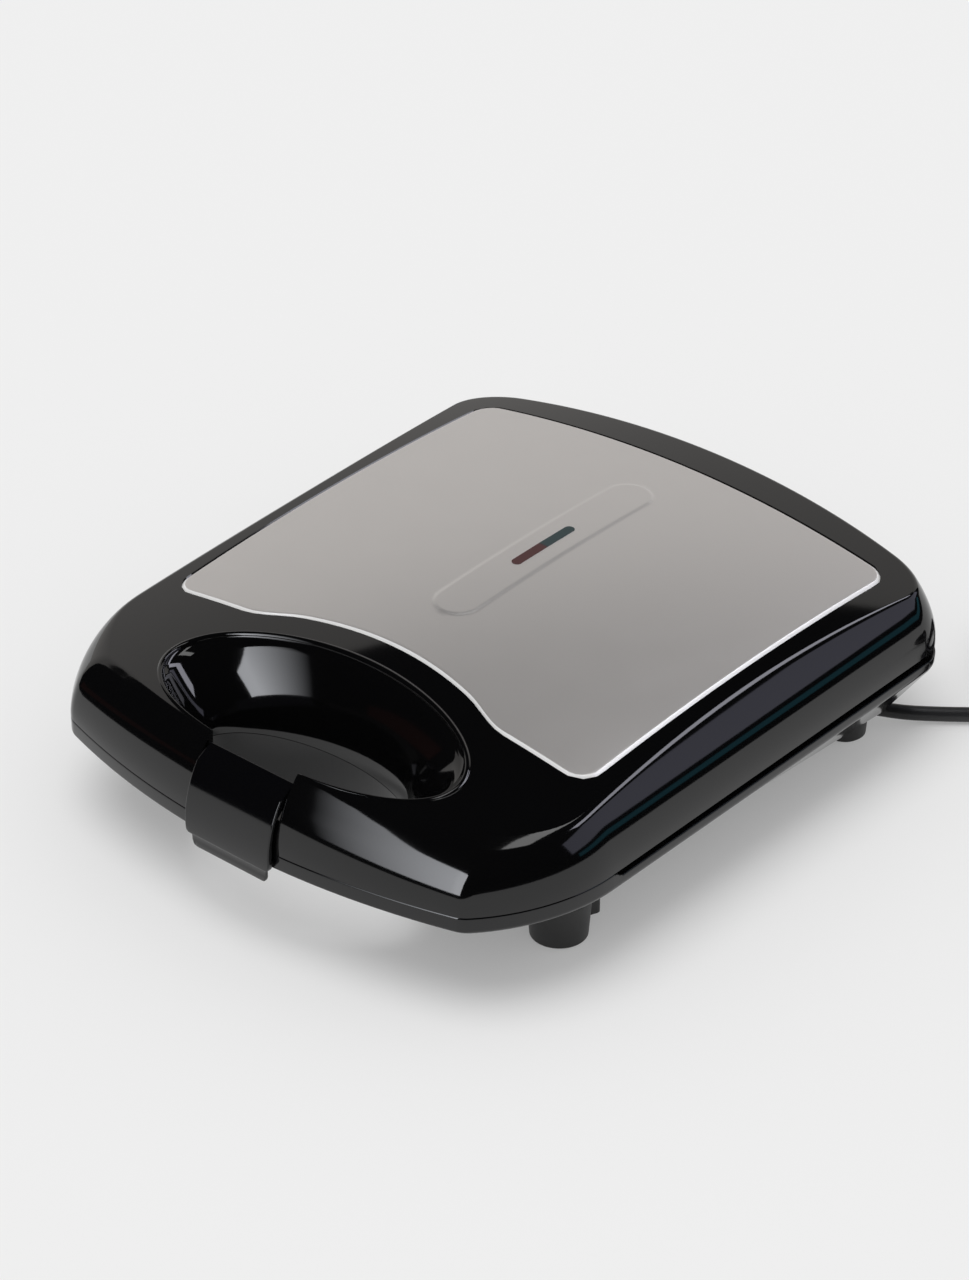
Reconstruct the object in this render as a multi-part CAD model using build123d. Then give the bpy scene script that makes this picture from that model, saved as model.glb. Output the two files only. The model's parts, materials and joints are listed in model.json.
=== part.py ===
from build123d import *
import math
import os

# Closed countertop sandwich maker: a domed lid on a tapered base, hinged at the back.
# X runs across, Y from the front to the back and Z up. While it is modelled, Z = 0 is the
# parting line of lid and base, and Y = 0 is at the two front corners of that line.

# Stance
stand_height = 48.0          # table to the parting line
wall = 2.5                   # moulded wall of both housings
fit = 0.3                    # air between pieces that only lie beside each other

# Plan of the widest line, which is the parting line
corner_x = 113.5
front_bow = 17.5             # how far the front bulges forward of its corners
flare_x = 142.0
flare_y = 64.0               # where the flared front corner meets the straight side
side_x = 145.2
side_y = 284.0               # end of the straight side
rear_x = 118.0
rear_y = 313.0               # where the rear corner meets the bowed back
back_y = 328.0

# Lid: a dome over walls that lean in with height
dome_height = 45.3
dome_y = 175.0
dome_radius_x = 686.0
dome_radius_y = 1351.0
crease_height = 33.0         # where the lean of the walls is measured
side_lean = 16.0
front_lean = 13.5
back_lean = 10.0
corner_lean = 24.0           # the front corners fall back faster

# Hand opening through lid and base
hand_length = 115.0          # clear length at the parting line
hand_width = 58.0
hand_y = 25.0
hand_rim_length = 189.0      # funnel size at its datum height, above the dome
hand_rim_width = 75.4
hand_rim_y = 36.2
hand_rim_over = 0.7          # datum height above the dome's top

# Steel cover on the lid
cover_half_width = 119.5
cover_front = 72.0
cover_middle = 87.5          # front edge at the middle, where it goes round the hand opening
cover_back = 293.0
cover_bow = 3.5
cover_corner = 11.0
cover_sheet = 1.0
cover_proud = 0.25
cover_gap = 0.5
emboss_width = 24.0
emboss_front = 119.0
emboss_back = 262.0
emboss_rise = 0.4

# Indicator lenses
lens_width = 5.0
lens_front = 168.2
lens_back = 209.8

# Base
base_lip = 8.0               # upright band below the parting line
base_depth = 36.0
groove = 3.5                 # gap between lid and base beside and behind the plates
groove_start = 66.0
bottom_flare = 29.0          # how far the sides draw in down to the bottom, at their front end
bottom_side = 19.3           # the same at their rear end
bottom_corner = 6.5          # the same at the rear corners
bottom_front = 58.0          # front edge of the flat bottom
bottom_back = 304.0
rear_tuck = 1.5              # the base's rear corners lie a little inside the lid's
bottom_rim = 3.6             # level width of the wall round the bottom cover

# Heating plates
plate_half_width = 122.0
plate_front = 70.0
plate_back = 296.0
plate_corner = 8.0
plate_flange = 4.0
plate_gap = 0.6              # between the two plates when closed
plate_rim = 9.0
plate_web = 7.0
pocket_depth = 12.0
pocket_floor = 3.0
pocket_draft = 6.0
ridge = 5.0                  # top width of the rims round each triangle
plate_clearance = 0.4
ledge = 6.0
plate_middle = -groove / 2   # height of the plane between the plates

# Heaters and what is under them
heater_radius = 3.25
reflector_sheet = 0.8
reflector_drop = 8.4         # from the pocket floors to the reflector
stud_radius = 3.0
thermostat_radius = 8.0
thermostat_height = 7.5

# Hinge
hinge_y = 321.5
hinge_z = -9.5
hinge_pin_radius = 2.5
hinge_running = 0.05
hinge_x = 93.0               # middle of each hinge
hinge_arm_width = 13.0
hinge_ear_width = 6.0
hinge_side_gap = 0.5
hinge_barrel = 6.2
hinge_ear_radius = 7.0

# Latch
latch_width = 48.4
latch_gap = 0.6
latch_pin_radius = 1.5
latch_running = 0.05
latch_pin_y = -7.2
latch_pin_z = 21.5
latch_floor = 13.2           # floor of the notch that the latch turns in
latch_sheet = 2.6
latch_cheek = 4.0            # thickness of the notch's side walls

# Feet
foot_radius = 12.8
foot_x = 110.0
foot_y = 68.0
rear_foot_radius = 10.0
rear_foot_x = 112.5
rear_foot_y = 270.5
ear_radius = 2.6             # the front feet's ear, which keeps a wound cord from slipping off
ear_x = 7.0                  # from the foot's middle
ear_y = 15.0
ear_share = 0.42             # the ear's depth as a share of the feet's height
pad_radius = 8.6
pad_stand = 1.2
pad_recess = 1.5

# Screws
screw_radius = 1.4
screw_head = 3.2
screw_head_height = 1.4
screw_sink = 1.5             # depth of the seat for a screw's head
boss_radius = 4.0
plate_screw_inset = 5.5

# Cord
cord_radius = 3.5
outlet_heading = 14.0        # the cord's direction where it leaves, degrees from +X
outlet_x = 70.8
outlet_y = 275.0
outlet_drop = 5.6            # cord axis below the flat bottom
relief_length = 30.0
relief_radius = 4.9

table = -stand_height
front_most = -front_bow - latch_gap - latch_sheet
rear_most = hinge_y + hinge_ear_radius
origin_y = (front_most + rear_most) / 2
hand_rim_height = dome_height + hand_rim_over
lid_top = dome_height + 1.7  # where the walls are cut off, above the dome

nodes = {}


def solid_of(shape):
    """The biggest solid of a shape, so that no crumbs are written."""
    return max(shape.solids(), key=lambda s: s.volume)


def block(x0, x1, y0, y1, z0, z1):
    """A box between two corners."""
    return Pos((x0 + x1) / 2, (y0 + y1) / 2, (z0 + z1) / 2) * Box(abs(x1 - x0), abs(y1 - y0), abs(z1 - z0))


def post(x, y, z0, z1, radius):
    """An upright cylinder."""
    return Pos(x, y, (z0 + z1) / 2) * Cylinder(radius, abs(z1 - z0))


def rod(x0, x1, y, z, radius):
    """A cylinder along X."""
    return Pos((x0 + x1) / 2, y, z) * Rot(0, 90, 0) * Cylinder(radius, abs(x1 - x0))


def both_sides(shape):
    """A shape and its mirror image across the middle plane."""
    return shape + mirror(shape, about=Plane.YZ)


def prism(face, z0, z1):
    """A flat face drawn at Z = 0, carried up from z0 to z1."""
    return extrude(Pos(0, 0, z0) * face, amount=z1 - z0)


def plan(z, corner, front, flare, side, rear, back):
    """Closed outline of a housing at one height; all points are given for +X."""
    def left(p):
        return (-p[0], p[1])

    side_way = (flare[0] - side[0], flare[1] - side[1])
    front_arc = ThreePointArc(left(corner), (0, front), corner)
    flare_arc = TangentArc(flare, corner, tangent=side_way)
    side_line = Line(flare, side)
    back_arc = ThreePointArc(rear, (0, back), left(rear))
    leave = back_arc % 0
    arrive = back_arc % 1
    rear_right = Spline(side, rear, tangents=[(-side_way[0], -side_way[1]), (leave.X, leave.Y)])
    rear_left = Spline(left(rear), left(side), tangents=[(arrive.X, arrive.Y), (-side_way[0], side_way[1])])
    side_left = Line(left(side), left(flare))
    flare_left = TangentArc(left(flare), left(corner), tangent=(-side_way[0], side_way[1]))
    edges = [front_arc, flare_arc, side_line, rear_right, back_arc, rear_left, side_left, flare_left]
    return Pos(0, 0, z) * make_face(Wire(edges))


def lid_plan(z, inset=0.0):
    """The lid's outline at height z, its walls leaning in as a parabola."""
    rise = (z / crease_height) ** 2
    side_in = side_lean * rise + inset
    front_in = front_lean * rise + inset
    back_in = back_lean * rise + inset
    corner = (corner_x - 0.5 * inset, corner_lean * rise + 0.9 * inset)
    flare = (flare_x - side_in, flare_y)
    side = (side_x - side_in, side_y)
    rear = (rear_x - 0.6 * side_in, rear_y - 0.8 * back_in)
    return plan(z, corner, front_in - front_bow, flare, side, rear, back_y - back_in)


def base_plan(z, draw_in, inset=0.0):
    """The base's outline; draw_in runs from 0 at the lip to 1 at the flat bottom."""
    front = -front_bow + inset + (bottom_front + front_bow) * draw_in
    corner = (corner_x - 16 * draw_in - 0.5 * inset, (bottom_front + 4) * draw_in + 0.9 * inset)
    flare = (flare_x - bottom_flare * draw_in - inset, flare_y + 26 * draw_in)
    side = (side_x + 0.6 - bottom_side * draw_in - inset, side_y + 2 - 8 * draw_in)
    rear = (rear_x - rear_tuck - bottom_corner * draw_in - 0.85 * inset, rear_y - 0.5 - 13 * draw_in - 0.8 * inset)
    back = back_y - 0.5 - (back_y - bottom_back) * draw_in - inset
    return plan(z, corner, front, flare, side, rear, back)


def dome(offset=0.0):
    """Everything under the lid's domed top, moved up by an offset."""
    top = dome_height + offset
    half = corner_x + 60
    drop = half ** 2 / (2 * dome_radius_x)
    section = Plane.XZ.offset(-dome_y) * make_face([
        ThreePointArc((-half, top - drop), (0, top), (half, top - drop)),
        Polyline((half, top - drop), (half, -90), (-half, -90), (-half, top - drop))])
    centre = Axis((0, dome_y, dome_height - dome_radius_y), (1, 0, 0))
    reach = math.degrees(math.asin(230 / dome_radius_y))
    return revolve(section.rotate(centre, -reach), axis=centre, revolution_arc=2 * reach)


def funnel(grow=0.0):
    """The hand opening through the lid, wider towards the top."""
    heights = [-1.0, 8.0, 22.0, hand_rim_height]
    share = [0.0, 0.05, 0.42, 1.0]
    sections = []
    for z, s in zip(heights, share):
        a = hand_length / 2 + (hand_rim_length - hand_length) / 2 * s + grow
        b = hand_width / 2 + (hand_rim_width - hand_width) / 2 * s + grow
        y = hand_y + (hand_rim_y - hand_y) * s
        sections.append(Pos(0, y, z) * Ellipse(a, b))
    return loft(sections)


def plate_outline(grow=0.0):
    """The heating plates' rounded rectangle, grown by a margin."""
    width = 2 * (plate_half_width + grow)
    depth = plate_back - plate_front + 2 * grow
    return Pos(0, (plate_front + plate_back) / 2) * RectangleRounded(width, depth, plate_corner + grow)


def cover_outline(grow=0.0):
    """The steel cover's outline, with its front edge bowed round the hand opening."""
    x = cover_half_width + grow
    y = cover_front - grow
    middle = cover_middle - grow
    side = cover_back - cover_bow + grow
    swing = Spline((0.63 * x, y), (0.4 * x, y + 0.58 * (middle - y)), (0, middle),
                   (-0.4 * x, y + 0.58 * (middle - y)), (-0.63 * x, y), tangents=[(-1, 0), (-1, 0)])
    outline = make_face([
        Line((x, y), (0.63 * x, y)), swing, Line((-0.63 * x, y), (-x, y)), Line((-x, y), (-x, side)),
        ThreePointArc((-x, side), (0, cover_back + grow), (x, side)), Line((x, side), (x, y))])
    corners = [v for v in outline.vertices() if abs(abs(v.X) - x) < 0.01]
    return fillet(corners, cover_corner + grow)


def plate_screw_places():
    """The four corners where screws hold a heating plate."""
    x = plate_half_width - plate_screw_inset
    return [(sx * x, y) for sx in (-1, 1) for y in (plate_front + plate_screw_inset, plate_back - plate_screw_inset)]


def screw(x, y, seat, tip):
    """A pan head screw whose head bears on height seat and whose shank ends at height tip."""
    up = 1 if seat > tip else -1
    head = post(x, y, seat, seat + up * screw_head_height, screw_head)
    slot = block(x - screw_head, x + screw_head, y - 0.4, y + 0.4, seat + up * (screw_head_height - 0.6),
                 seat + up * (screw_head_height + 1))
    return head + post(x, y, tip, seat, screw_radius) - slot


# The full outer bodies, used again wherever something has to meet them

lid_levels = [0.0, 10.0, 20.0, 30.0, 38.0]
upright = lid_top - lid_levels[-1]
lid_body = loft([lid_plan(z) for z in lid_levels]) + extrude(lid_plan(lid_levels[-1]), amount=upright)
lid_body = lid_body & dome()
lid_inside = loft([lid_plan(z, wall) for z in lid_levels]) + extrude(lid_plan(lid_levels[-1], wall), amount=upright)
lid_inside = (lid_inside & dome(-wall)) + prism(lid_plan(0, wall), -1, 0)

base_body = loft([base_plan(-base_depth, 1), base_plan(-base_lip, 0)], ruled=True)
base_body = base_body + prism(base_plan(0, 0), -base_lip, 0)
base_inside = loft([base_plan(-base_depth, 1, bottom_rim), base_plan(-base_lip, 0.05, wall)], ruled=True)
base_inside = base_inside + prism(base_plan(0, 1, bottom_rim), -base_depth - 1, -base_depth)
base_inside = base_inside + prism(base_plan(0, 0, wall), -base_lip, 1)
hand_hole = prism(Pos(0, hand_y) * Ellipse(hand_length / 2, hand_width / 2), -base_depth - 10, 2)
hand_collar = prism(Pos(0, hand_y) * Ellipse(hand_length / 2 + wall, hand_width / 2 + wall), -base_depth - 10, 2)

upper_rim = plate_middle + plate_gap / 2
lower_rim = plate_middle - plate_gap / 2
upper_flange_top = upper_rim + plate_flange
lower_flange_bottom = lower_rim - plate_flange
front_top = -fit             # top of the base's grip, just under the lid


def make_upper_housing():
    """Lid shell with its funnel, the latch's notch, screw bosses and two hinge arms."""
    shell = lid_body - lid_inside
    shell += (funnel(wall) & lid_body)
    cheek = latch_width / 2 + latch_gap + latch_cheek
    notch_half = latch_width / 2 + latch_gap
    liner = block(-cheek, cheek, -front_bow - 8, hand_y, latch_floor - wall, hand_rim_height)
    shell += liner & lid_body & block(-cheek, cheek, -front_bow - 8, hand_y - hand_width / 2 + wall, 0, 60)
    for x, y in plate_screw_places() + lid_frame_screws():
        foot = upper_flange_top if (x, y) in plate_screw_places() else wall + fit
        shell += post(x, y, foot, dome_height, boss_radius) & lid_body
        shell -= post(x, y, foot - 1, foot + 9, screw_radius)
    shell += both_sides(hinge_arm())
    shell -= funnel()
    shell -= block(-notch_half, notch_half, -front_bow - 20, hand_y, latch_floor, hand_rim_height)
    shell -= rod(-cheek + 1, cheek - 1, latch_pin_y, latch_pin_z, latch_pin_radius)
    shell -= prism(cover_outline(cover_gap), 10, 60) - dome(cover_proud - cover_sheet)
    shell -= prism(lens_outline(fit), 0, 60)
    return solid_of(shell)


def lid_frame_screws():
    """Screws that hold the frame under the lid."""
    return [(sx * x, y) for sx in (-1, 1) for x, y in ((100.0, 38.0), (131.0, 180.0), (66.0, 309.0))]


def hinge_arm():
    """The lid's knuckle on the +X side, bored for the pin with a running clearance."""
    x0 = hinge_x - hinge_arm_width / 2
    x1 = hinge_x + hinge_arm_width / 2
    arm = rod(x0, x1, hinge_y, hinge_z, hinge_barrel)
    arm += block(x0, x1, hinge_y - hinge_barrel, hinge_y + 0.5, hinge_z, 9)
    arm -= rod(x0 - 1, x1 + 1, hinge_y, hinge_z, hinge_pin_radius + hinge_running)
    return arm


def hinge_arm_space(grow):
    """The room that the lid's arm needs where other pieces lie beside it."""
    x0 = hinge_x - hinge_arm_width / 2 - grow
    x1 = hinge_x + hinge_arm_width / 2 + grow
    return both_sides(block(x0, x1, hinge_y - hinge_barrel - 1.3 - grow, hinge_y + 20, -base_depth, 12))


def lens_outline(grow=0.0):
    """The indicator's slot."""
    length = lens_back - lens_front
    return Pos(0, (lens_front + lens_back) / 2) * Rot(0, 0, 90) * SlotOverall(length + 2 * grow, lens_width + 2 * grow)


def make_lid_frame():
    """Ring that closes the lid from below, round the plate and the hand opening."""
    frame = prism(lid_plan(0, wall + fit), 0, wall)
    frame -= prism(plate_outline(plate_clearance), -1, wall + 1)
    frame -= funnel(wall + fit)
    frame -= hinge_arm_space(fit)
    for x, y in lid_frame_screws():
        frame -= post(x, y, -1, 5, screw_radius + fit)
        frame -= post(x, y, -1, screw_sink, screw_head + fit)
    return solid_of(frame)


def make_cover():
    """Steel sheet on the lid's top, embossed round the indicator."""
    sheet = prism(cover_outline(), 10, 60) & (dome(cover_proud) - dome(cover_proud - cover_sheet))
    length = emboss_back - emboss_front
    stadium = Pos(0, (emboss_front + emboss_back) / 2) * Rot(0, 0, 90) * SlotOverall(length, emboss_width)
    sheet += prism(stadium, 10, 60) & (dome(cover_proud + emboss_rise) - dome(cover_proud - cover_sheet / 2))
    sheet -= prism(lens_outline(0.15), 10, 60)
    return solid_of(sheet)


def make_lens(y0, y1):
    """One half of the indicator's window, standing a hair above the steel."""
    lens = prism(lens_outline(), dome_height - 7.3, 60) & block(-10, 10, y0, y1, 0, 60)
    return lens & dome(cover_proud + emboss_rise + 0.3)


def make_lamp_holder():
    """Trough that carries the two lamps under the indicator."""
    middle = (lens_front + lens_back) / 2
    half = (lens_back - lens_front) / 2 + 6
    outer = block(-8, 8, middle - half, middle + half, dome_height - 15, 60) & dome(-wall)
    return outer - block(-6.4, 6.4, middle - half + 1.6, middle + half - 1.6, dome_height - 13.4, 60)


def triangle(points, inset, z):
    """A triangle with rounded corners, drawn in from its sides."""
    sides = [math.dist(points[1], points[2]), math.dist(points[2], points[0]), math.dist(points[0], points[1])]
    around = sum(sides)
    centre = [sum(s * p[k] for s, p in zip(sides, points)) / around for k in (0, 1)]
    area = abs((points[1][0] - points[0][0]) * (points[2][1] - points[0][1])
               - (points[2][0] - points[0][0]) * (points[1][1] - points[0][1])) / 2
    keep = 1 - inset * around / (2 * area)
    corners = [[centre[k] + (p[k] - centre[k]) * keep for k in (0, 1)] for p in points]
    face = make_face(Wire.make_polygon([Vector(*c) for c in corners], close=True))
    return Pos(0, 0, z) * fillet(face.vertices(), 6)


def cells():
    """The four sandwich squares of a plate: near and far X, near and far Y, from the plate's middle."""
    middle = (plate_front + plate_back) / 2
    near = plate_web / 2
    far_x = plate_half_width - plate_rim
    far_y = (plate_back - plate_front) / 2 - plate_rim
    return [(sx * near, sx * far_x, middle + sy * near, middle + sy * far_y) for sx in (-1, 1) for sy in (-1, 1)]


def make_lower_plate():
    """Cast plate with eight triangular pockets, two to a sandwich."""
    plate = prism(plate_outline(), lower_flange_bottom, lower_rim)
    low = lower_rim - pocket_depth - pocket_floor
    for x0, x1, y0, y1 in cells():
        middle = Pos((x0 + x1) / 2, (y0 + y1) / 2)
        width, depth = abs(x1 - x0), abs(y1 - y0)
        top = middle * RectangleRounded(width, depth, 12)
        floor = middle * RectangleRounded(width - 2 * pocket_draft, depth - 2 * pocket_draft, 10)
        plate += loft([Pos(0, 0, low) * floor, Pos(0, 0, lower_flange_bottom + 1) * top], ruled=True)
    for x0, x1, y0, y1 in cells():
        for third in ((x1, y0), (x0, y1)):
            corners = [(x0, y0), (x1, y1), third]
            depth_at = [(lower_rim + 1, ridge / 2 - 0.4), (lower_rim - pocket_depth, ridge / 2 + pocket_draft)]
            plate -= loft([triangle(corners, inset, z) for z, inset in reversed(depth_at)], ruled=True)
    for y in stud_places():
        plate += post(0, y, low - reflector_drop + reflector_sheet, lower_flange_bottom, stud_radius)
        plate -= post(0, y, low - reflector_drop - 1, low, screw_radius)
    for x, y in plate_screw_places():
        plate -= post(x, y, lower_flange_bottom - 1, lower_rim + 1, screw_radius + fit)
        plate -= post(x, y, lower_rim - screw_sink, lower_rim + 1, screw_head + fit)
    return solid_of(plate)


def stud_places():
    """The studs that carry a reflector, on the plate's middle web."""
    middle = (plate_front + plate_back) / 2
    return [middle - 53, middle + 53]


def flip(shape):
    """A piece of the base, turned over for the lid."""
    return mirror(shape, about=Plane.XY.offset(plate_middle))


def make_lower_heater():
    """Tubular heater in one loop under the four squares, with both ends at the back."""
    z = lower_rim - pocket_depth - pocket_floor - fit - heater_radius
    front, back = plate_front + 32, plate_back - 28
    tail, side = 14.0, plate_half_width - 30
    path = FilletPolyline((-tail, plate_back + 5, z), (-tail, back, z), (-side, back, z), (-side, front, z),
                          (side, front, z), (side, back, z), (tail, back, z), (tail, plate_back + 5, z), radius=12)
    return sweep(Plane(origin=path @ 0, z_dir=path % 0) * Circle(heater_radius), path=path)


def make_lower_reflector():
    """Shallow aluminium tray that throws the heat back at the plate."""
    z = lower_rim - pocket_depth - pocket_floor - reflector_drop
    outline = Pos(0, (plate_front + plate_back) / 2) * RectangleRounded(218, 204, 14)
    tray = prism(outline, z, z + 6) - prism(offset(outline, -reflector_sheet), z + reflector_sheet, z + 7)
    tray -= block(-19, 19, plate_back - 18, plate_back, z + reflector_sheet, z + 7)
    for y in stud_places():
        tray -= post(0, y, z - 1, z + 2, screw_radius + 0.2)
    return solid_of(tray)


def make_reflector_screws():
    """The two screws that hold a reflector to the plate's studs."""
    z = lower_rim - pocket_depth - pocket_floor - reflector_drop
    return [screw(0, y, z, z + 8) for y in stud_places()]


def make_thermostat():
    """Disc thermostat on the crossing of the plate's webs."""
    middle = (plate_front + plate_back) / 2
    disc = post(0, middle, lower_flange_bottom - thermostat_height, lower_flange_bottom, thermostat_radius)
    tabs = block(-5.5, -4.5, middle - 3, middle + 3, lower_flange_bottom - thermostat_height - 4,
                 lower_flange_bottom - thermostat_height)
    return disc + both_sides(tabs)


def make_thermal_fuse():
    """One-shot fuse lying along the middle web."""
    middle = (plate_front + plate_back) / 2
    z = lower_flange_bottom - fit - 2.4
    body = Pos(0, middle + 24, z) * Rot(90, 0, 0) * Cylinder(2.4, 13)
    lead = Pos(0, middle + 24, z) * Rot(90, 0, 0) * Cylinder(0.6, 25)
    return body + lead


def hinge_ends():
    """Outer faces of the base's two ears on the +X side."""
    half = hinge_arm_width / 2 + hinge_side_gap + hinge_ear_width
    return hinge_x - half, hinge_x + half


def hinge_ears():
    """The base's block on the +X side, with a slot for the lid's arm between two ears."""
    inner, outer = hinge_ends()
    ears = rod(inner, outer, hinge_y, hinge_z, hinge_ear_radius)
    ears += block(inner, outer, plate_back + 6, hinge_y, hinge_z - hinge_ear_radius, -groove - fit)
    return ears


def make_lower_housing():
    """Base shell: walls, top deck with the plate's well, grip collar and hinge ears."""
    front = block(-160, 160, -60, groove_start, -base_depth, front_top)
    rear = block(-160, 160, groove_start, 400, -base_depth, -groove)
    body = base_body & (front + rear)
    shell = body - base_inside
    deck = (body & block(-160, 160, groove_start - wall, 400, -groove - wall, -groove))
    deck += body & block(-160, 160, -60, groove_start, front_top - wall, front_top)
    deck += body & block(-160, 160, groove_start - wall, groove_start, -groove - wall, front_top)
    shell += deck
    shell += hand_collar & body
    well_bottom = lower_flange_bottom - wall
    shell += prism(plate_outline(plate_clearance + wall), well_bottom, -groove) & body
    for x, y in plate_screw_places():
        shell += post(x, y, well_bottom - 8, lower_flange_bottom, boss_radius)
    shell += both_sides(hinge_ears())
    shell -= prism(plate_outline(plate_clearance), lower_flange_bottom, 5)
    hollow = prism(plate_outline(-ledge), well_bottom - 9, 5)
    for x, y in plate_screw_places():
        hollow -= post(x, y, well_bottom - 8, lower_flange_bottom, boss_radius)
    shell -= hollow
    for x, y in bottom_screw_places():
        shell += post(x, y, -base_depth + wall, lower_flange_bottom, boss_radius)
    shell -= hinge_arm_space(hinge_side_gap)
    shell -= hand_hole
    inner, outer = hinge_ends()
    shell -= both_sides(rod(inner, outer + 20, hinge_y, hinge_z, hinge_pin_radius))
    for x, y in plate_screw_places():
        shell -= post(x, y, well_bottom - 6, lower_flange_bottom + 1, screw_radius)
    for x, y in bottom_screw_places():
        shell -= post(x, y, -base_depth, -base_depth + wall + 12, screw_radius)
    return solid_of(shell)


def bottom_screw_places():
    """The four screws that hold the bottom cover."""
    return [(sx * x, y) for sx in (-1, 1) for x, y in ((78.0, plate_front + 2), (40.0, plate_back - 4.5))]


def make_bottom_cover():
    """Flat cover under the base with air slots and the cord's outlet block."""
    cover = prism(base_plan(0, 1, bottom_rim + fit), -base_depth, -base_depth + wall)
    for row in range(5):
        y = 120 + 14 * row
        for x in (-50, 50):
            cover -= Pos(x, y, -base_depth) * extrude(SlotOverall(46, 3), amount=wall + 1)
    for x, y in bottom_screw_places():
        cover -= post(x, y, -base_depth - 1, 0, screw_radius + fit)
        cover -= post(x, y, -base_depth - 1, -base_depth + screw_sink, screw_head + fit)
    cover += outlet_frame() * (Pos(-9, 0, 0) * Box(18, 15, 2 * outlet_drop))
    cover -= outlet_frame() * (Pos(-9, 0, 0) * Rot(0, 90, 0) * Cylinder(relief_radius - 1.2, 20))
    cover -= outlet_frame() * (Pos(-13, 0, 4) * Box(6, 6, 12))
    return solid_of(cover)


def outlet_frame():
    """The cord's axis where it leaves: X along the cord."""
    return Pos(outlet_x, outlet_y, -base_depth - outlet_drop) * Rot(0, 0, outlet_heading)


def make_strain_relief():
    """Tapered rubber sleeve at the cord's outlet, ribbed, with a neck held in the block."""
    profile = [(0, 0), (0, relief_radius)]
    ribs = 6
    for i in range(ribs):
        start = 4 + i * (relief_length - 6) / ribs
        radius = relief_radius - (relief_radius - cord_radius - 0.3) * start / relief_length
        profile += [(start, radius), (start, radius - 0.5), (start + 1.4, radius - 0.6), (start + 1.4, radius - 0.1)]
    profile += [(relief_length, cord_radius + 0.3), (relief_length, 0)]
    sleeve = revolve(make_face(Polyline(*profile, close=True)), axis=Axis.X)
    neck = Pos(-5, 0, 0) * Rot(0, 90, 0) * Cylinder(relief_radius - 1.2, 10)
    return outlet_frame() * (sleeve + neck)


def wire_run(points, radius, bend):
    """A sleeved bundle of wires along straight runs and arcs."""
    path = FilletPolyline(*points, radius=bend)
    return sweep(Plane(origin=path @ 0, z_dir=path % 0) * Circle(radius), path=path)


def make_latch():
    """Clip that wraps the grip's front: top, curved face, lip and a barrel on its pin."""
    y0 = -front_bow - latch_gap - latch_sheet
    outer = ThreePointArc((-11.6, 24.6), (y0 + 2.8, 13), (y0, -4.5))
    inner = ThreePointArc((y0 + latch_sheet, -5.0), (y0 + latch_sheet + 0.3, 4), (y0 + latch_sheet + 1.9, 12.4))
    outline = make_face([
        Line((-2.6, 29.6), (-11.6, 24.6)), outer, Line((y0, -4.5), (y0 + 1.4, -15.0)),
        Line((y0 + 1.4, -15.0), (y0 + latch_sheet, -15.4)),
        Line((y0 + latch_sheet, -15.4), (y0 + latch_sheet, -5.0)), inner,
        Polyline((y0 + latch_sheet + 1.9, 12.4), (-14.6, 15.5), (-9.8, 20.0), (-5.2, 24.4), (-2.6, 27.4),
                 (-2.6, 29.6))])
    clip = extrude(Plane.YZ * outline, amount=latch_width / 2, both=True)
    barrel = rod(-latch_width / 2, latch_width / 2, latch_pin_y, latch_pin_z, latch_pin_radius + 2)
    clip += barrel
    clip -= rod(-latch_width, latch_width, latch_pin_y, latch_pin_z, latch_pin_radius + latch_running)
    return solid_of(clip)


def make_foot(x, y, radius):
    """Foot on the flat bottom, with a seat for its pad."""
    low = table + pad_stand
    foot = Pos(x, y, low) * Cone(radius, radius + 1.5, 20, align=(Align.CENTER, Align.CENTER, Align.MIN))
    foot -= post(x, y, low - 1, low + pad_recess, pad_radius + 0.2)
    return solid_of(foot - base_body)


def make_eared_foot(x, y, radius):
    """Front foot with a blade behind it that ends in the cord's ear."""
    outward = math.copysign(ear_x, x)
    reach = math.hypot(ear_x, ear_y)
    blade = Rot(0, 0, math.degrees(math.atan2(ear_y, outward))) * SlotCenterToCenter(reach, 2 * ear_radius)
    low = -base_depth - ear_share * (stand_height - base_depth)
    blade = prism(Pos(x + outward / 2, y + ear_y / 2) * blade, low, -base_depth + 12)
    return solid_of(make_foot(x, y, radius) + (blade - base_body))


def make_pad(x, y):
    """Rubber pad pressed into the foot; it is what stands on the table."""
    return post(x, y, table, table + pad_stand + pad_recess, pad_radius)


def make_hinge_pin():
    """Pin pressed into both ears; the lid's arm turns on it."""
    inner, outer = hinge_ends()
    pin = rod(inner, outer, hinge_y, hinge_z, hinge_pin_radius)
    return chamfer(pin.edges().filter_by(GeomType.CIRCLE), 0.5)


# Cord: from the outlet under the right rear corner, straight out and into a put-away coil

heading = Vector(math.cos(math.radians(outlet_heading)), math.sin(math.radians(outlet_heading)), 0)
outlet = Vector(outlet_x, outlet_y, -base_depth - outlet_drop)
relief_tip = outlet + heading * relief_length
lay = table + cord_radius

coil_pitch = 8.2             # from turn to turn
coil_outer = 42.5            # centre line of the outermost turn
coil_quarters_in = 5         # quarter turns that spiral in on the lower layer
coil_quarters_out = 5        # quarter turns that spiral out on the upper layer
coil_climb = 8.4
coil_lift = 1.2              # room for the tie under the turns
coil_entry = Vector(194.0, 352.0, lay + coil_lift)
coil_heading = 45.2          # degrees from +X where the cord meets the coil
tie_width = 7.0
tie_sheet = 0.8
tail_length = 62.0
plug_length = 46.0
plug_radius = 18.5
pin_pitch = 19.0
pin_length = 19.0
pin_radius = 2.4

cord_route = [relief_tip, relief_tip + heading * 22.5, Vector(143.0, 307.7, lay)]


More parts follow.
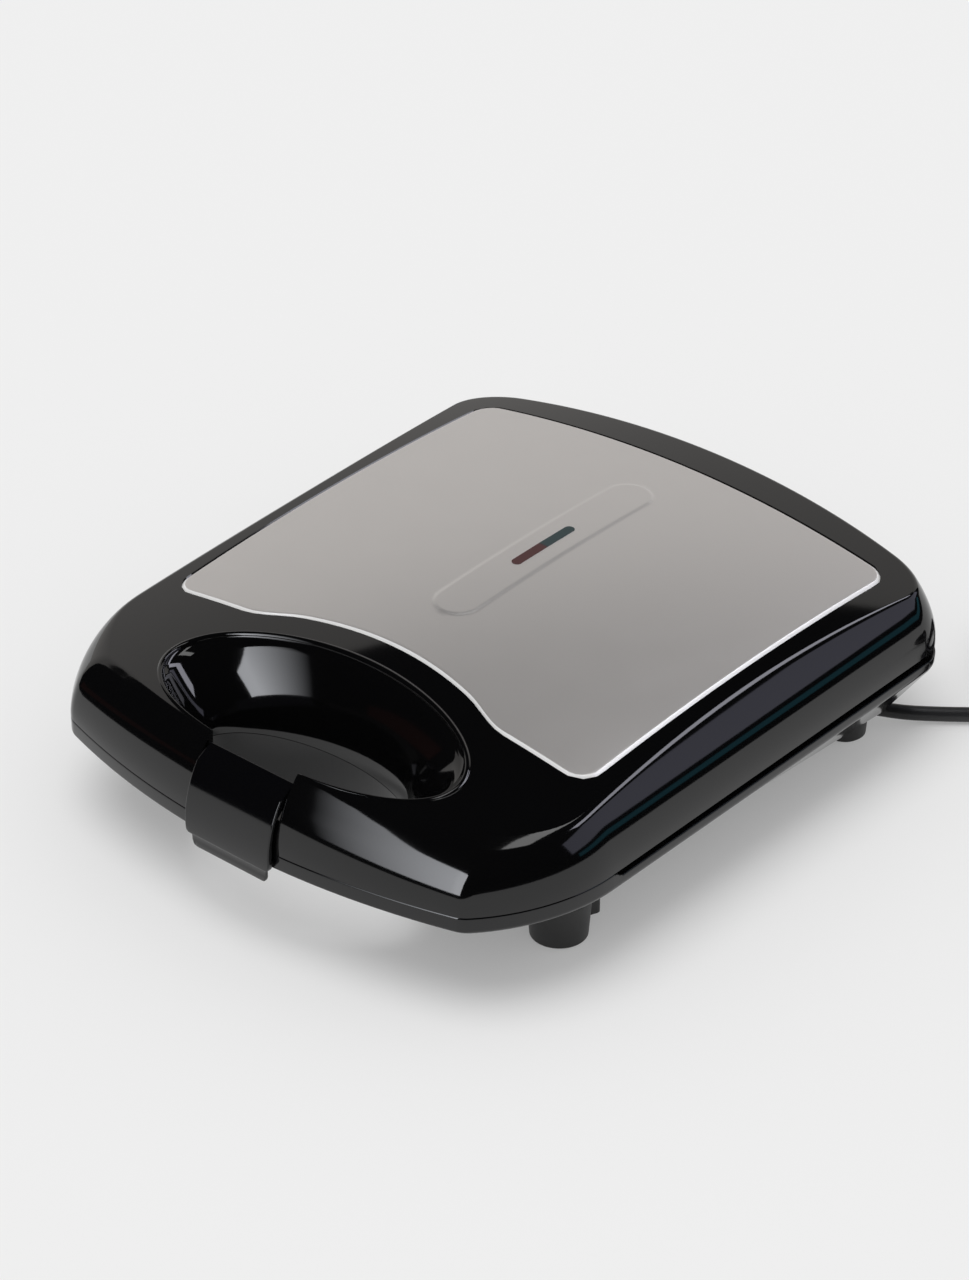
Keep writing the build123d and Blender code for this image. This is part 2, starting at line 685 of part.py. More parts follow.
def turn_point(quarter, half_turn=2):
    """Centre line of the coil after so many quarter turns: radius, height and angle."""
    inward = coil_quarters_in
    step = coil_pitch / 4
    lowest = coil_outer - inward * step
    if quarter <= inward:
        return coil_outer - quarter * step, 0.0
    if quarter >= inward + half_turn:
        return lowest - step / 2 + (quarter - inward - half_turn) * step, coil_climb
    return lowest - step / 2 - 0.7, coil_climb / 2


def coil_frame():
    """Centre of the coil and the angle at which the cord comes in."""
    start = math.radians(coil_heading - 90)
    centre = coil_entry - Vector(math.cos(start), math.sin(start), 0) * coil_outer
    return centre, start


def coil_points():
    """Points of the coil a quarter turn apart, each with its direction of travel."""
    centre, start = coil_frame()
    places = []
    last = coil_quarters_in + 2 + coil_quarters_out
    for quarter in range(last + 1):
        radius, rise = turn_point(quarter)
        angle = start + quarter * math.pi / 2
        spot = centre + Vector(math.cos(angle), math.sin(angle), 0) * radius + Vector(0, 0, rise)
        slope = 0.0
        if coil_quarters_in < quarter < coil_quarters_in + 2:
            slope = coil_climb / (math.pi * radius) * 1.3
        travel = Vector(-math.sin(angle), math.cos(angle), slope).normalized()
        places.append((spot, travel))
    return places


def biarc(start, leave, end, arrive):
    """Two arcs that join two points along the given directions."""
    chord = end - start
    both = leave + arrive
    a = 4 - both.dot(both)
    b = 2 * chord.dot(both)
    c = -chord.dot(chord)
    reach = (-b + math.sqrt(b * b - 4 * a * c)) / (2 * a)
    knee = (start + leave * reach + end - arrive * reach) * 0.5
    return [TangentArc(start, knee, tangent=leave), TangentArc(end, knee, tangent=-arrive)]


def tube(path, radius):
    """A round tube along a path."""
    return sweep(Plane(origin=path @ 0, z_dir=path % 0) * Circle(radius), path=path)


def coil_path():
    """The coil's centre line, with one diameter of straight cord at each end."""
    places = coil_points()
    first, travel = places[0]
    edges = [Line(first - travel * 2 * cord_radius, first)]
    for (a, leave), (b, arrive) in zip(places, places[1:]):
        edges += biarc(a, leave, b, arrive)
    last, travel = places[-1]
    edges.append(Line(last, last + travel * 2 * cord_radius))
    return Wire(edges)


def lead_path():
    """The free stretch: straight runs joined by arcs as large as the runs allow."""
    first, travel = coil_points()[0]
    end = first - travel * 2 * cord_radius
    points = cord_route + [end - travel * 22, end]
    radii = []
    for before, at, after in zip(points, points[1:], points[2:]):
        turn = math.radians((at - before).get_angle(after - at))
        run = min((at - before).length, (after - at).length)
        radii.append(0.45 * run / math.tan(turn / 2))
    print("cord radii", [round(r) for r in radii])
    return FilletPolyline(*points, radius=radii)


def self_gap(path):
    """Least air between stretches of the coil that are not neighbours along it."""
    count = 400
    points = [path @ (i / count) for i in range(count + 1)]
    apart = int(math.ceil(count * 3 * math.pi * cord_radius / path.length))
    least = min((points[i] - points[j]).length for i in range(count + 1) for j in range(i + apart, count + 1))
    return least - 2 * cord_radius


def make_tie():
    """Wire tie closed round all the turns at the side away from the object."""
    centre, start = coil_frame()
    radii = [turn_point(q)[0] for q in range(coil_quarters_in + coil_quarters_out + 3)]
    inner = min(radii) - cord_radius - fit - tie_sheet
    outer = max(radii) + cord_radius + fit + tie_sheet
    low = centre.Z - cord_radius - fit
    high = centre.Z + coil_climb + cord_radius + fit
    around = Pos((inner + outer) / 2, 0, (low + high) / 2) * Box(outer - inner, tie_width, high - low + 2 * tie_sheet)
    around = fillet(around.edges().filter_by(Axis.Y), 3)
    hollow = Pos((inner + outer) / 2, 0, (low + high) / 2) * Box(outer - inner - 2 * tie_sheet, tie_width + 2,
                                                                  high - low)
    band = around - fillet(hollow.edges().filter_by(Axis.Y), 2)
    angle = math.degrees(start) + 90 * (coil_quarters_in + 3.5)
    return Pos(centre.X, centre.Y, 0) * Rot(0, 0, angle) * band


def tail_path():
    """Free end: level off the upper turns, then up to the plug, which lies on its rim."""
    last, travel = coil_points()[-1]
    start = last + travel * 2 * cord_radius
    rise = Vector(0, 0, table + plug_radius - start.Z)
    points = [start, start + travel * 0.3 * tail_length, start + travel * 0.75 * tail_length + rise,
              start + travel * tail_length + rise]
    turn = math.atan2(abs(rise.Z), 0.45 * tail_length)
    radius = 0.45 * 0.25 * tail_length / math.tan(turn / 2)
    return FilletPolyline(*points, radius=radius)


def plug_frame():
    """The plug's axis: X points from the cord to the pins."""
    path = tail_path()
    end = path @ 1
    travel = path % 1
    return Pos(end.X, end.Y, end.Z) * Rot(0, 0, math.degrees(math.atan2(travel.Y, travel.X)))


def make_plug_body():
    """Moulded earthed plug: sleeve, flattened grip, then a round front with two side slots."""
    face = 12.0
    neck = loft([Plane.YZ * Circle(cord_radius + 1), Plane.YZ.offset(12) * Circle(6.2)])
    grip = loft([Plane.YZ.offset(12) * Ellipse(6.2, 6.2), Plane.YZ.offset(22) * Ellipse(13, 9),
                 Plane.YZ.offset(plug_length - face) * Ellipse(plug_radius - 1, plug_radius - 1)])
    front = Pos(plug_length - face / 2, 0, 0) * Rot(0, 90, 0) * Cylinder(plug_radius, face)
    front = chamfer(front.edges().filter_by(GeomType.CIRCLE), 0.8)
    body = neck + grip + front
    for side in (-1, 1):
        body -= Pos(plug_length - 4, 0, side * plug_radius) * Box(10, 5, 4)
    return solid_of(body)


def make_plug_pins():
    """Two round pins with rounded ends."""
    pin = Pos(plug_length + pin_length / 2, pin_pitch / 2, 0) * Rot(0, 90, 0) * Cylinder(pin_radius, pin_length)
    tip = pin.edges().filter_by(GeomType.CIRCLE).sort_by(Axis.X)[-1]
    pin = fillet(tip, pin_radius * 0.6)
    return pin, Pos(0, -pin_pitch, 0) * pin


# All the pieces by name

nodes["upper_housing"] = make_upper_housing()
nodes["lid_frame"] = make_lid_frame()
nodes["lid_cover_plate"] = make_cover()
middle_lens = (lens_front + lens_back) / 2
nodes["power_lens"] = make_lens(0, middle_lens - 0.05)
nodes["ready_lens"] = make_lens(middle_lens + 0.05, 400)
nodes["lamp_holder"] = make_lamp_holder()
for name, y in (("power_lamp", middle_lens - 11), ("ready_lamp", middle_lens + 11)):
    nodes[name] = Pos(0, y, dome_height - 13.4 + fit + 2.5) * Rot(90, 0, 0) * Cylinder(2.5, 15)

lower_plate = make_lower_plate()
nodes["lower_heating_plate"] = lower_plate
nodes["upper_heating_plate"] = flip(lower_plate)
nodes["lower_heating_element"] = make_lower_heater()
nodes["upper_heating_element"] = flip(nodes["lower_heating_element"])
nodes["lower_reflector"] = make_lower_reflector()
nodes["upper_reflector"] = flip(nodes["lower_reflector"])
nodes["lower_reflector_screws"] = Compound(make_reflector_screws())
nodes["upper_reflector_screws"] = flip(nodes["lower_reflector_screws"])
nodes["lower_thermostat"] = make_thermostat()
nodes["upper_thermostat"] = flip(nodes["lower_thermostat"])
nodes["thermal_fuse"] = make_thermal_fuse()

plate_seat = lower_rim - screw_sink
plate_screws = [screw(x, y, plate_seat, plate_seat - 7) for x, y in plate_screw_places()]
nodes["lower_plate_screws"] = Compound(plate_screws)
nodes["upper_plate_screws"] = flip(nodes["lower_plate_screws"])
nodes["lid_frame_screws"] = Compound([screw(x, y, screw_sink, 9) for x, y in lid_frame_screws()])
bottom_seat = -base_depth + screw_sink
nodes["bottom_cover_screws"] = Compound([screw(x, y, bottom_seat, -base_depth + 10) for x, y in bottom_screw_places()])

nodes["lower_housing"] = make_lower_housing()
nodes["bottom_cover"] = make_bottom_cover()
for side, sign in (("left", -1), ("right", 1)):
    nodes["foot_front_" + side] = make_eared_foot(sign * foot_x, foot_y, foot_radius)
    nodes["foot_rear_" + side] = make_foot(sign * rear_foot_x, rear_foot_y, rear_foot_radius)
    nodes["pad_front_" + side] = make_pad(sign * foot_x, foot_y)
    nodes["pad_rear_" + side] = make_pad(sign * rear_foot_x, rear_foot_y)
nodes["hinge_pin_right"] = make_hinge_pin()
nodes["hinge_pin_left"] = mirror(nodes["hinge_pin_right"], about=Plane.YZ)

floor = -base_depth + wall
nodes["terminal_block"] = block(28, 60, 232, 246, floor, floor + 6.2)
for x in (34, 44, 54):
    nodes["terminal_block"] -= post(x, 239, floor + 2, floor + 8, 2)
nodes["base_wiring"] = wire_run([(60, 239, floor + 3), (70, 239, floor + 3), (70, 270, floor + 3),
                                 (20, 270, floor + 3)], 1.6, 6)
top = plate_middle * 2 - (lower_rim - pocket_depth - pocket_floor - reflector_drop)
nodes["lid_wiring"] = wire_run([(-6, middle_lens - 10, top + 3), (-14, middle_lens - 10, top + 3),
                                (-14, plate_back - 4, top + 3), (-70, plate_back + 8, top - 4)], 1.6, 6)

nodes["latch_clip"] = make_latch()
pin_half = latch_width / 2 + latch_gap + latch_cheek - 1
nodes["latch_pin"] = rod(-pin_half, pin_half, latch_pin_y, latch_pin_z, latch_pin_radius)

nodes["strain_relief"] = make_strain_relief()
lead = lead_path()
nodes["cord_lead"] = tube(lead, cord_radius)
coil = coil_path()
nodes["cord_coil"] = tube(coil, cord_radius)
nodes["cord_tie"] = make_tie()
tail = tail_path()
nodes["cord_tail"] = tube(tail, cord_radius)
nodes["plug_body"] = plug_frame() * make_plug_body()
nodes["plug_pins"] = plug_frame() * Compound(list(make_plug_pins()))
print("cord", round(lead.length + coil.length + tail.length + relief_length), "mm, coil's least gap to itself",
      round(self_gap(coil), 2))
for name, path in (("cord_lead", lead), ("cord_coil", coil), ("cord_tail", tail)):
    print(name, "volume", round(nodes[name].volume), "section times length",
          round(math.pi * cord_radius ** 2 * path.length))

# Everything moves to its place: the middle of the footprint at the origin, the pads on Z = 0

os.makedirs("parts", exist_ok=True)
place = Pos(0, -origin_y, stand_height)
for name, shape in nodes.items():
    export_step(place * shape, f"parts/{name}.step")
print("origin at y", round(origin_y, 3), "hinge", round(hinge_y - origin_y, 3), round(hinge_z + stand_height, 3),
      "latch", round(latch_pin_y - origin_y, 3), round(latch_pin_z + stand_height, 3))
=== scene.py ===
# %% [markdown]
# A closed sandwich maker on a pale studio table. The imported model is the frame: it says where
# every piece is. This script gives each piece its finish, and models again, as smooth meshes,
# the pieces whose shape is seen in reflections: the two glossy housings, the steel cover, the
# latch and the cord.

# %% Load the frame
import json
import math
import bmesh
import bpy
from mathutils import Matrix, Vector


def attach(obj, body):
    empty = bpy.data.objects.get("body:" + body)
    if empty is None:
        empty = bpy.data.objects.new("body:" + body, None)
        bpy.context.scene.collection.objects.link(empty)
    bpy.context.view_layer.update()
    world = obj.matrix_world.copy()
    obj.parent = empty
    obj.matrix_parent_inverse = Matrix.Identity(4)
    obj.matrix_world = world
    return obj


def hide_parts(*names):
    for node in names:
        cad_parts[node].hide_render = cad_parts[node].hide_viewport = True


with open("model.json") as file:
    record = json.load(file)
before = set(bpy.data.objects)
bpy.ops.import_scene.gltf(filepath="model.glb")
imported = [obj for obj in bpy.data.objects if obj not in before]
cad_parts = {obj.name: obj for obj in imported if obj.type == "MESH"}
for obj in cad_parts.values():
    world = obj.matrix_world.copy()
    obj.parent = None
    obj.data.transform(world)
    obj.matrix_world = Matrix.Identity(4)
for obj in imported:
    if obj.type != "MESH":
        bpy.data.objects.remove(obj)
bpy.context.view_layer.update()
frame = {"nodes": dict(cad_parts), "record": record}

# %% [markdown]
# Sizes are easiest to read in millimetres, from the line where lid and base part. One helper
# turns such a place into metres in the frame, where the table is at zero. Another puts a new
# object into the scene.

# %% Places and driving sizes
TABLE_DROP = 48.0            # from the parting line down to the table
MIDDLE_Y = 153.9             # from the front corners of the parting line to the frame's origin


def place(x, y, z):
    """Millimetres from the parting line, as a point of the frame in metres."""
    return Vector((x, y - MIDDLE_Y, z + TABLE_DROP)) / 1000


def add(name, data):
    """A new object in the scene."""
    item = bpy.data.objects.new(name, data)
    bpy.context.scene.collection.objects.link(item)
    return item


# %% [markdown]
# The camera stands to the right of the front corner and looks down on the lid. A long lens keeps
# the far edge nearly as wide as the near one, which is what gives a product photograph its calm
# perspective.

# %% Camera
CAMERA_SPOT = (1017.27, -1048.87, 1040.44)
CAMERA_LOOK = (-0.54232, 0.63818, -0.54646)

camera = add("camera", bpy.data.cameras.new("camera"))
camera.data.lens = 118.125
camera.data.sensor_width = 36.0
camera.data.clip_start = 0.05
camera.data.clip_end = 60.0
look = Vector(CAMERA_LOOK).normalized()
right = look.cross(Vector((0, 0, 1))).normalized()
above = right.cross(look)
turn = Matrix((right, above, -look)).transposed()
camera.matrix_world = Matrix.Translation(place(*CAMERA_SPOT)) @ turn.to_4x4()
bpy.context.scene.camera = camera
print("camera", [round(v, 3) for v in camera.location])

# %% [markdown]
# The mains cord leaves under the right rear corner, drops to the table and runs out of the
# picture. The rest of it is put away as a coil just outside the view. One smooth spline carries
# the whole length, so that the cord never kinks where two stretches meet: a few chosen points on
# the free stretch, then the coil's turns worked out by a loop.

# %% Cord route
CORD_RADIUS = 3.5
OUTLET = (70.8, 275.0, -41.6)
OUTLET_HEADING = math.radians(14.0)
RELIEF_LENGTH = 30.0
LAY = -TABLE_DROP + CORD_RADIUS
COIL_OUTER = 42.5
COIL_PITCH = 8.2
COIL_CLIMB = 8.4
COIL_DIP = 0.7               # how far the climbing turn is drawn in
COIL_LIFT = 1.2              # room for the tie under the turns
COIL_ENTRY = (194.0, 352.0, LAY + COIL_LIFT)
COIL_HEADING = math.radians(45.2)
QUARTERS_IN = 5
QUARTERS_OUT = 5
STEPS_A_QUARTER = 6
TAIL_LENGTH = 62.0
PLUG_RADIUS = 18.5


def ahead(point, heading, distance, rise=0.0):
    """A point further on, level apart from a given rise."""
    x, y, z = point
    return (x + distance * math.cos(heading), y + distance * math.sin(heading), z + rise)


def coil_turn(quarter):
    """Radius and height of the coil's centre line after so many quarter turns."""
    step = COIL_PITCH / 4
    lowest = COIL_OUTER - QUARTERS_IN * step
    if quarter <= QUARTERS_IN:
        return COIL_OUTER - quarter * step, 0.0
    if quarter >= QUARTERS_IN + 2:
        return lowest - step / 2 + (quarter - QUARTERS_IN - 2) * step, COIL_CLIMB
    part = (quarter - QUARTERS_IN) / 2
    dip = COIL_DIP * math.sin(math.pi * part)
    rise = COIL_CLIMB * (3 * part ** 2 - 2 * part ** 3)
    return lowest - step / 2 * min(1, 2 * part) - dip, rise


def coil_route():
    """The coil's points. A quadratic spline cuts inside its points, so they stand out a little."""
    start = COIL_HEADING - math.pi / 2
    spread = 1 / (0.75 + 0.25 * math.cos(math.pi / 2 / STEPS_A_QUARTER))
    cx, cy, cz = ahead(COIL_ENTRY, start, -COIL_OUTER)
    quarters = QUARTERS_IN + 2 + QUARTERS_OUT
    points = []
    for i in range(quarters * STEPS_A_QUARTER + 1):
        radius, rise = coil_turn(i / STEPS_A_QUARTER)
        angle = start + i * math.pi / 2 / STEPS_A_QUARTER
        points.append(ahead((cx, cy, cz), angle, radius * spread, rise))
    return points


relief_tip = ahead(OUTLET, OUTLET_HEADING, RELIEF_LENGTH)
coil = coil_route()
coil_start = ahead(COIL_ENTRY, COIL_HEADING, -2 * CORD_RADIUS)
tail_start = ahead(coil[-1], COIL_HEADING, 2 * CORD_RADIUS)
plug_rise = -TABLE_DROP + PLUG_RADIUS - coil[-1][2]
plug_start = ahead(tail_start, COIL_HEADING, TAIL_LENGTH, plug_rise)
free_points = [relief_tip, ahead(relief_tip, OUTLET_HEADING, 22.5), (143.0, 307.7, LAY),
               ahead(coil_start, COIL_HEADING, -22.0), coil_start]
tail_points = [tail_start, ahead(tail_start, COIL_HEADING, 0.3 * TAIL_LENGTH),
               ahead(tail_start, COIL_HEADING, 0.75 * TAIL_LENGTH, plug_rise), plug_start]
route = [place(*p) for p in free_points + coil + tail_points]

# %% [markdown]
# The cord's radius sits on the points of the spline. A curve's box grows by what its points
# carry, so this keeps the box as close to the cord as the cord is thick.

# %% Cord
line = bpy.data.curves.new("mains_cord", "CURVE")
line.dimensions = "3D"
spline = line.splines.new("NURBS")
spline.points.add(len(route) - 1)
for point, spot in zip(spline.points, route):
    point.co = (*spot, 1.0)
    point.radius = CORD_RADIUS / 1000
spline.order_u = 3
spline.use_endpoint_u = True
line.resolution_u = 6
line.bevel_depth = 1.0
line.bevel_resolution = 6
line.use_fill_caps = True
mains_cord = add("mains_cord", line)
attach(mains_cord, "base")
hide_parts("cord_lead", "cord_coil", "cord_tail")
cord_length = sum((b - a).length for a, b in zip(route, route[1:]))
print("cord", round(cord_length, 3), "m over", len(route), "points")

# %% [markdown]
# Every finish is a node material. Most of them share one recipe: a Principled shader whose
# roughness and bump come from noise on the object's own coordinates, so that gloss is never
# perfectly even. Colours are written as they should look under plain white light.

# %% Material recipe
def node_of(tree, kind, values):
    """A new shader node, with some inputs set by their name or number."""
    node = tree.nodes.new("ShaderNode" + kind)
    for key, value in values.items():
        node.inputs[key].default_value = value
    return node


def join(source, output, target, socket):
    """Links an output of one node to an input of another."""
    source.id_data.links.new(source.outputs[output], target.inputs[socket])


def finish(name, colour, roughness, metal=0.0, grain=900.0, grain_depth=0.00001, uneven=0.04,
           coat=0.0, tint=0.0):
    """A node material whose roughness, colour and bump vary a little with noise."""
    material = bpy.data.materials.new(name)
    material.use_nodes = True
    tree = material.node_tree
    shader = tree.nodes["Principled BSDF"]
    shader.inputs["Metallic"].default_value = metal
    shader.inputs["Coat Weight"].default_value = coat
    where = node_of(tree, "TexCoord", {})
    slow = node_of(tree, "TexNoise", {"Scale": grain / 25, "Detail": 3.0})
    join(where, "Object", slow, "Vector")
    level = node_of(tree, "MapRange", {"To Min": max(0.0, roughness - uneven), "To Max": roughness + uneven})
    join(slow, "Fac", level, "Value")
    join(level, "Result", shader, "Roughness")
    shade = node_of(tree, "MapRange", {7: (0, 0, 0), 8: (1, 1, 1), 9: [c * (1 - tint) for c in colour],
                                       10: [min(1.0, c * (1 + tint)) for c in colour]})
    shade.data_type = "FLOAT_VECTOR"
    join(slow, "Fac", shade, 6)
    join(shade, 1, shader, "Base Color")
    fine = node_of(tree, "TexNoise", {"Scale": grain, "Detail": 2.0})
    join(where, "Object", fine, "Vector")
    bump = node_of(tree, "Bump", {"Distance": grain_depth})
    join(fine, "Fac", bump, "Height")
    join(bump, "Normal", shader, "Normal")
    return material


STEEL_METAL = 0.75

polished = {"grain": 60, "grain_depth": 0.000004, "uneven": 0.02}
zinc = finish("zinc_plate", (0.6, 0.6, 0.58), 0.3, metal=1.0, grain=900, tint=0.1)
by_slot = {
    "housing": finish("gloss_black", (0.002, 0.002, 0.0022), 0.06, **polished),
    "base_black": finish("base_gloss_black", (0.0025, 0.0025, 0.003), 0.08, **polished),
    "latch_black": finish("latch_black", (0.002, 0.002, 0.0025), 0.09, **polished),
    "cover_steel": finish("satin_steel", (0.63, 0.60, 0.58), 0.36, metal=STEEL_METAL, grain=1400,
                          grain_depth=0.000004, uneven=0.03),
    "pad_rubber": finish("pad_rubber", (0.03, 0.03, 0.03), 0.7, grain=1500, grain_depth=0.00004, tint=0.2),
    "cord_black": finish("cord_rubber", (0.012, 0.012, 0.013), 0.42, grain=1800, tint=0.2),
    "moulded_black": finish("moulded_black", (0.015, 0.015, 0.015), 0.45, grain=2500, grain_depth=0.00002),
    "plate_cast": finish("non_stick", (0.035, 0.035, 0.037), 0.4, grain=2200, grain_depth=0.00003, tint=0.3),
    "heater": finish("heater_steel", (0.25, 0.22, 0.19), 0.45, metal=1.0, grain=300, tint=0.4),
    "reflector": finish("bright_aluminium", (0.75, 0.75, 0.76), 0.25, metal=1.0, grain=500, tint=0.05),
    "fastener": zinc,
    "pin_steel": zinc,
    "pin_metal": finish("nickel_plate", (0.68, 0.65, 0.6), 0.2, metal=1.0, grain=900, tint=0.05),
    "insulator": finish("insulator", (0.6, 0.56, 0.48), 0.5, grain=800, tint=0.05),
    "sleeve_white": finish("woven_sleeve", (0.6, 0.58, 0.52), 0.8, grain=3000, grain_depth=0.0001, tint=0.15),
    "lens_red": finish("lens_red", (0.045, 0.003, 0.004), 0.12, grain=400, tint=0.1),
    "lens_green": finish("lens_green", (0.002, 0.022, 0.026), 0.12, grain=400, tint=0.1),
    "lamp": finish("lamp_glass", (0.8, 0.75, 0.68), 0.1, grain=400, coat=0.5)}
mains_cord.data.materials.append(by_slot["cord_black"])

# %% [markdown]
# The rolled edge of the steel cover shows as a pale line, which is a painted highlight. One number,
# read from how level the sheet lies, makes it: on the flat the steel is metallic and keeps most of
# its own colour, and where it turns down it gets less metallic and is painted nearly white, as the
# edge would look where it catches the light. One fault is left here: the level is the room's and
# not the lid's own, so an open lid makes the whole sheet pale.

# %% Painted highlight on the steel's edge
# Where the painted highlight starts and ends, and the metal and near-white colour it is painted with.
HIGHLIGHT_LEVELS = (0.88, 0.95)   # upward part of the normal, where the edge is palest and where it ends
HIGHLIGHT_METAL = 0.15
HIGHLIGHT_COLOUR = (0.95, 0.95, 0.95, 1)


def paint_edge_highlight(material, flat_metal):
    """Paints a highlight: makes a metal paler and less metallic where its face turns away from level."""
    tree = material.node_tree
    shader = tree.nodes["Principled BSDF"]
    lie = node_of(tree, "NewGeometry", {})
    upright = node_of(tree, "SeparateXYZ", {})
    join(lie, "True Normal", upright, "Vector")
    edge = node_of(tree, "MapRange", {"From Min": HIGHLIGHT_LEVELS[0], "From Max": HIGHLIGHT_LEVELS[1],
                                      "To Min": HIGHLIGHT_METAL, "To Max": flat_metal})
    join(upright, "Z", edge, "Value")
    join(edge, "Result", shader, "Metallic")
    highlight_mix = node_of(tree, "Mix", {6: HIGHLIGHT_COLOUR})
    highlight_mix.data_type = "RGBA"
    join(edge, "Result", highlight_mix, 0)
    tree.links.new(shader.inputs["Base Color"].links[0].from_socket, highlight_mix.inputs[7])
    join(highlight_mix, 2, shader, "Base Color")


# The steel cover gets its painted edge highlight.
paint_edge_highlight(by_slot["cover_steel"], STEEL_METAL)
print("materials", len(set(by_slot.values())))

# %% [markdown]
# The CAD pieces that stay as they are get their finish by the slot that the record gives them.
# A CAD mesh is loose triangles, so a merged copy stands in for each one: its flat faces are
# joined, its round faces shade smoothly, and its broad faces set the shading at their edges.

# %% Dress the CAD pieces
slot_of = {part["node"]: part["material_slot"] for part in frame["record"]["subparts"]}
body_of = {node: body for body, names in frame["record"]["behaviour"]["bodies"].items() for node in names}
replaced = {"cord_lead", "cord_coil", "cord_tail", "upper_housing", "lower_housing",
            "lid_cover_plate", "latch_clip"}


def show(name, mesh, nodes, body, slot):
    """A finished mesh that stands for CAD nodes and rides on their body."""
    piece = add(name, mesh)
    piece.data.materials.clear()
    piece.data.materials.append(by_slot[slot])
    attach(piece, body)
    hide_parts(*nodes)
    return piece


def smooth_by_angle(mesh, degrees):
    """Shades a mesh smooth, apart from edges sharper than an angle."""
    mesh.shade_smooth()
    mesh.set_sharp_from_angle(angle=math.radians(degrees))


def even_faces(piece):
    """Lets broad faces set the shading at their corners, so that flat faces look flat."""
    even = piece.modifiers.new("even faces", "WEIGHTED_NORMAL")
    even.keep_sharp = True
    even.weight = 100


def dress(node):
    """A merged copy of a CAD node, shaded smooth with flat faces kept flat."""
    work = bmesh.new()
    work.from_mesh(frame["nodes"][node].data)
    bmesh.ops.remove_doubles(work, verts=work.verts, dist=0.000002)
    bmesh.ops.dissolve_limit(work, angle_limit=math.radians(0.5), verts=work.verts, edges=work.edges)
    mesh = bpy.data.meshes.new(node)
    work.to_mesh(mesh)
    work.free()
    smooth_by_angle(mesh, 35)
    slot = slot_of[node]
    piece = show(node + "_finished", mesh, [node], body_of[node], slot)
    even_faces(piece)
    return piece


dressed = {}
for node in sorted(slot_of):
    if node not in replaced:
        dressed[node] = dress(node)
print("dressed", len(dressed), "nodes")

# %% [markdown]
# The lid's shell, made below, is closed level with the lower face of the lid's frame. Two faces
# in one plane show as streaks, so that face of the frame is set a hair lower. This only keeps
# the streaks away: with a hollow shell it wouldn't be needed.

# %% Lower face of the lid's frame
PROUD = 0.03
NEAR_PARTING = place(0, 0, 0.01).z

for vert in dressed["lid_frame"].data.vertices:
    if vert.co.z < NEAR_PARTING:
        vert.co.z -= PROUD / 1000

# %% [markdown]
# Both housings are moulded shells that are seen almost only through their reflections, so their
# meshes have to be as even as the real tooling. Each is grown from one ring of vertices: the
# outline at the parting line. The ring is extruded upwards again and again, and each new ring is
# put on the next level of the wall, round the crease, over the dome and down the hand opening.

# %% Outline of the housings
FRONT_BOW = 17.5             # how far the middle of the front stands ahead of its corners
CORNER_X = 113.5             # the front corners, at Y zero
FLARE = (142.0, 64.0)        # where the sides begin to run straight
KNEE = 3.0                   # how far the rounding of a front corner reaches
SIDE_STEPS = [0.0, 0.01, 0.02, 0.03, 0.04, 0.06, 0.09] + [0.12 + 0.88 * i / 19 for i in range(19)]


def arc_through(a, m, b, count):
    """Points from a to just before b, on the circle through a, m and b."""
    d = 2 * (a[0] * (m[1] - b[1]) + m[0] * (b[1] - a[1]) + b[0] * (a[1] - m[1]))
    sq = [p[0] ** 2 + p[1] ** 2 for p in (a, m, b)]
    cx = (sq[0] * (m[1] - b[1]) + sq[1] * (b[1] - a[1]) + sq[2] * (a[1] - m[1])) / d
    cy = (sq[0] * (b[0] - m[0]) + sq[1] * (a[0] - b[0]) + sq[2] * (m[0] - a[0])) / d
    radius = math.hypot(a[0] - cx, a[1] - cy)
    start = math.atan2(a[1] - cy, a[0] - cx)
    sweep = (math.atan2(b[1] - cy, b[0] - cx) - start) % (2 * math.pi)
    angles = [start + sweep * i / count for i in range(count)]
    return [(cx + radius * math.cos(angle), cy + radius * math.sin(angle)) for angle in angles]


def bend(a, way_a, b, way_b, count, pull=1.0):
    """Points from a to just before b on a curve that leaves and arrives along two directions."""
    reach = math.dist(a, b) * pull
    points = []
    for i in range(count):
        t = i / count
        weights = (2 * t ** 3 - 3 * t ** 2 + 1, t ** 3 - 2 * t ** 2 + t,
                   -2 * t ** 3 + 3 * t ** 2, t ** 3 - t ** 2)
        spans = (math.hypot(*way_a), math.hypot(*way_b))
        points.append(tuple(weights[0] * a[k] + weights[1] * reach * way_a[k] / spans[0]
                            + weights[2] * b[k] + weights[3] * reach * way_b[k] / spans[1] for k in (0, 1)))
    return points


def end_way(apex, end):
    """Direction along a bowed edge at its right end, for a bow of the given apex and end."""
    half = end[0]
    sag = end[1] - apex
    angle = 2 * math.atan(sag / half)
    return (math.cos(angle), math.sin(angle))


def bow_point(apex, end, corner):
    """A point halfway along a bow, on the circle through its apex and its corners."""
    half = corner[0]
    sag = corner[1] - apex
    radius = (half ** 2 + sag ** 2) / (2 * abs(sag))
    x = end[0] / 2
    depth = radius - math.sqrt(radius ** 2 - x ** 2)
    return (x, apex + math.copysign(depth, sag))


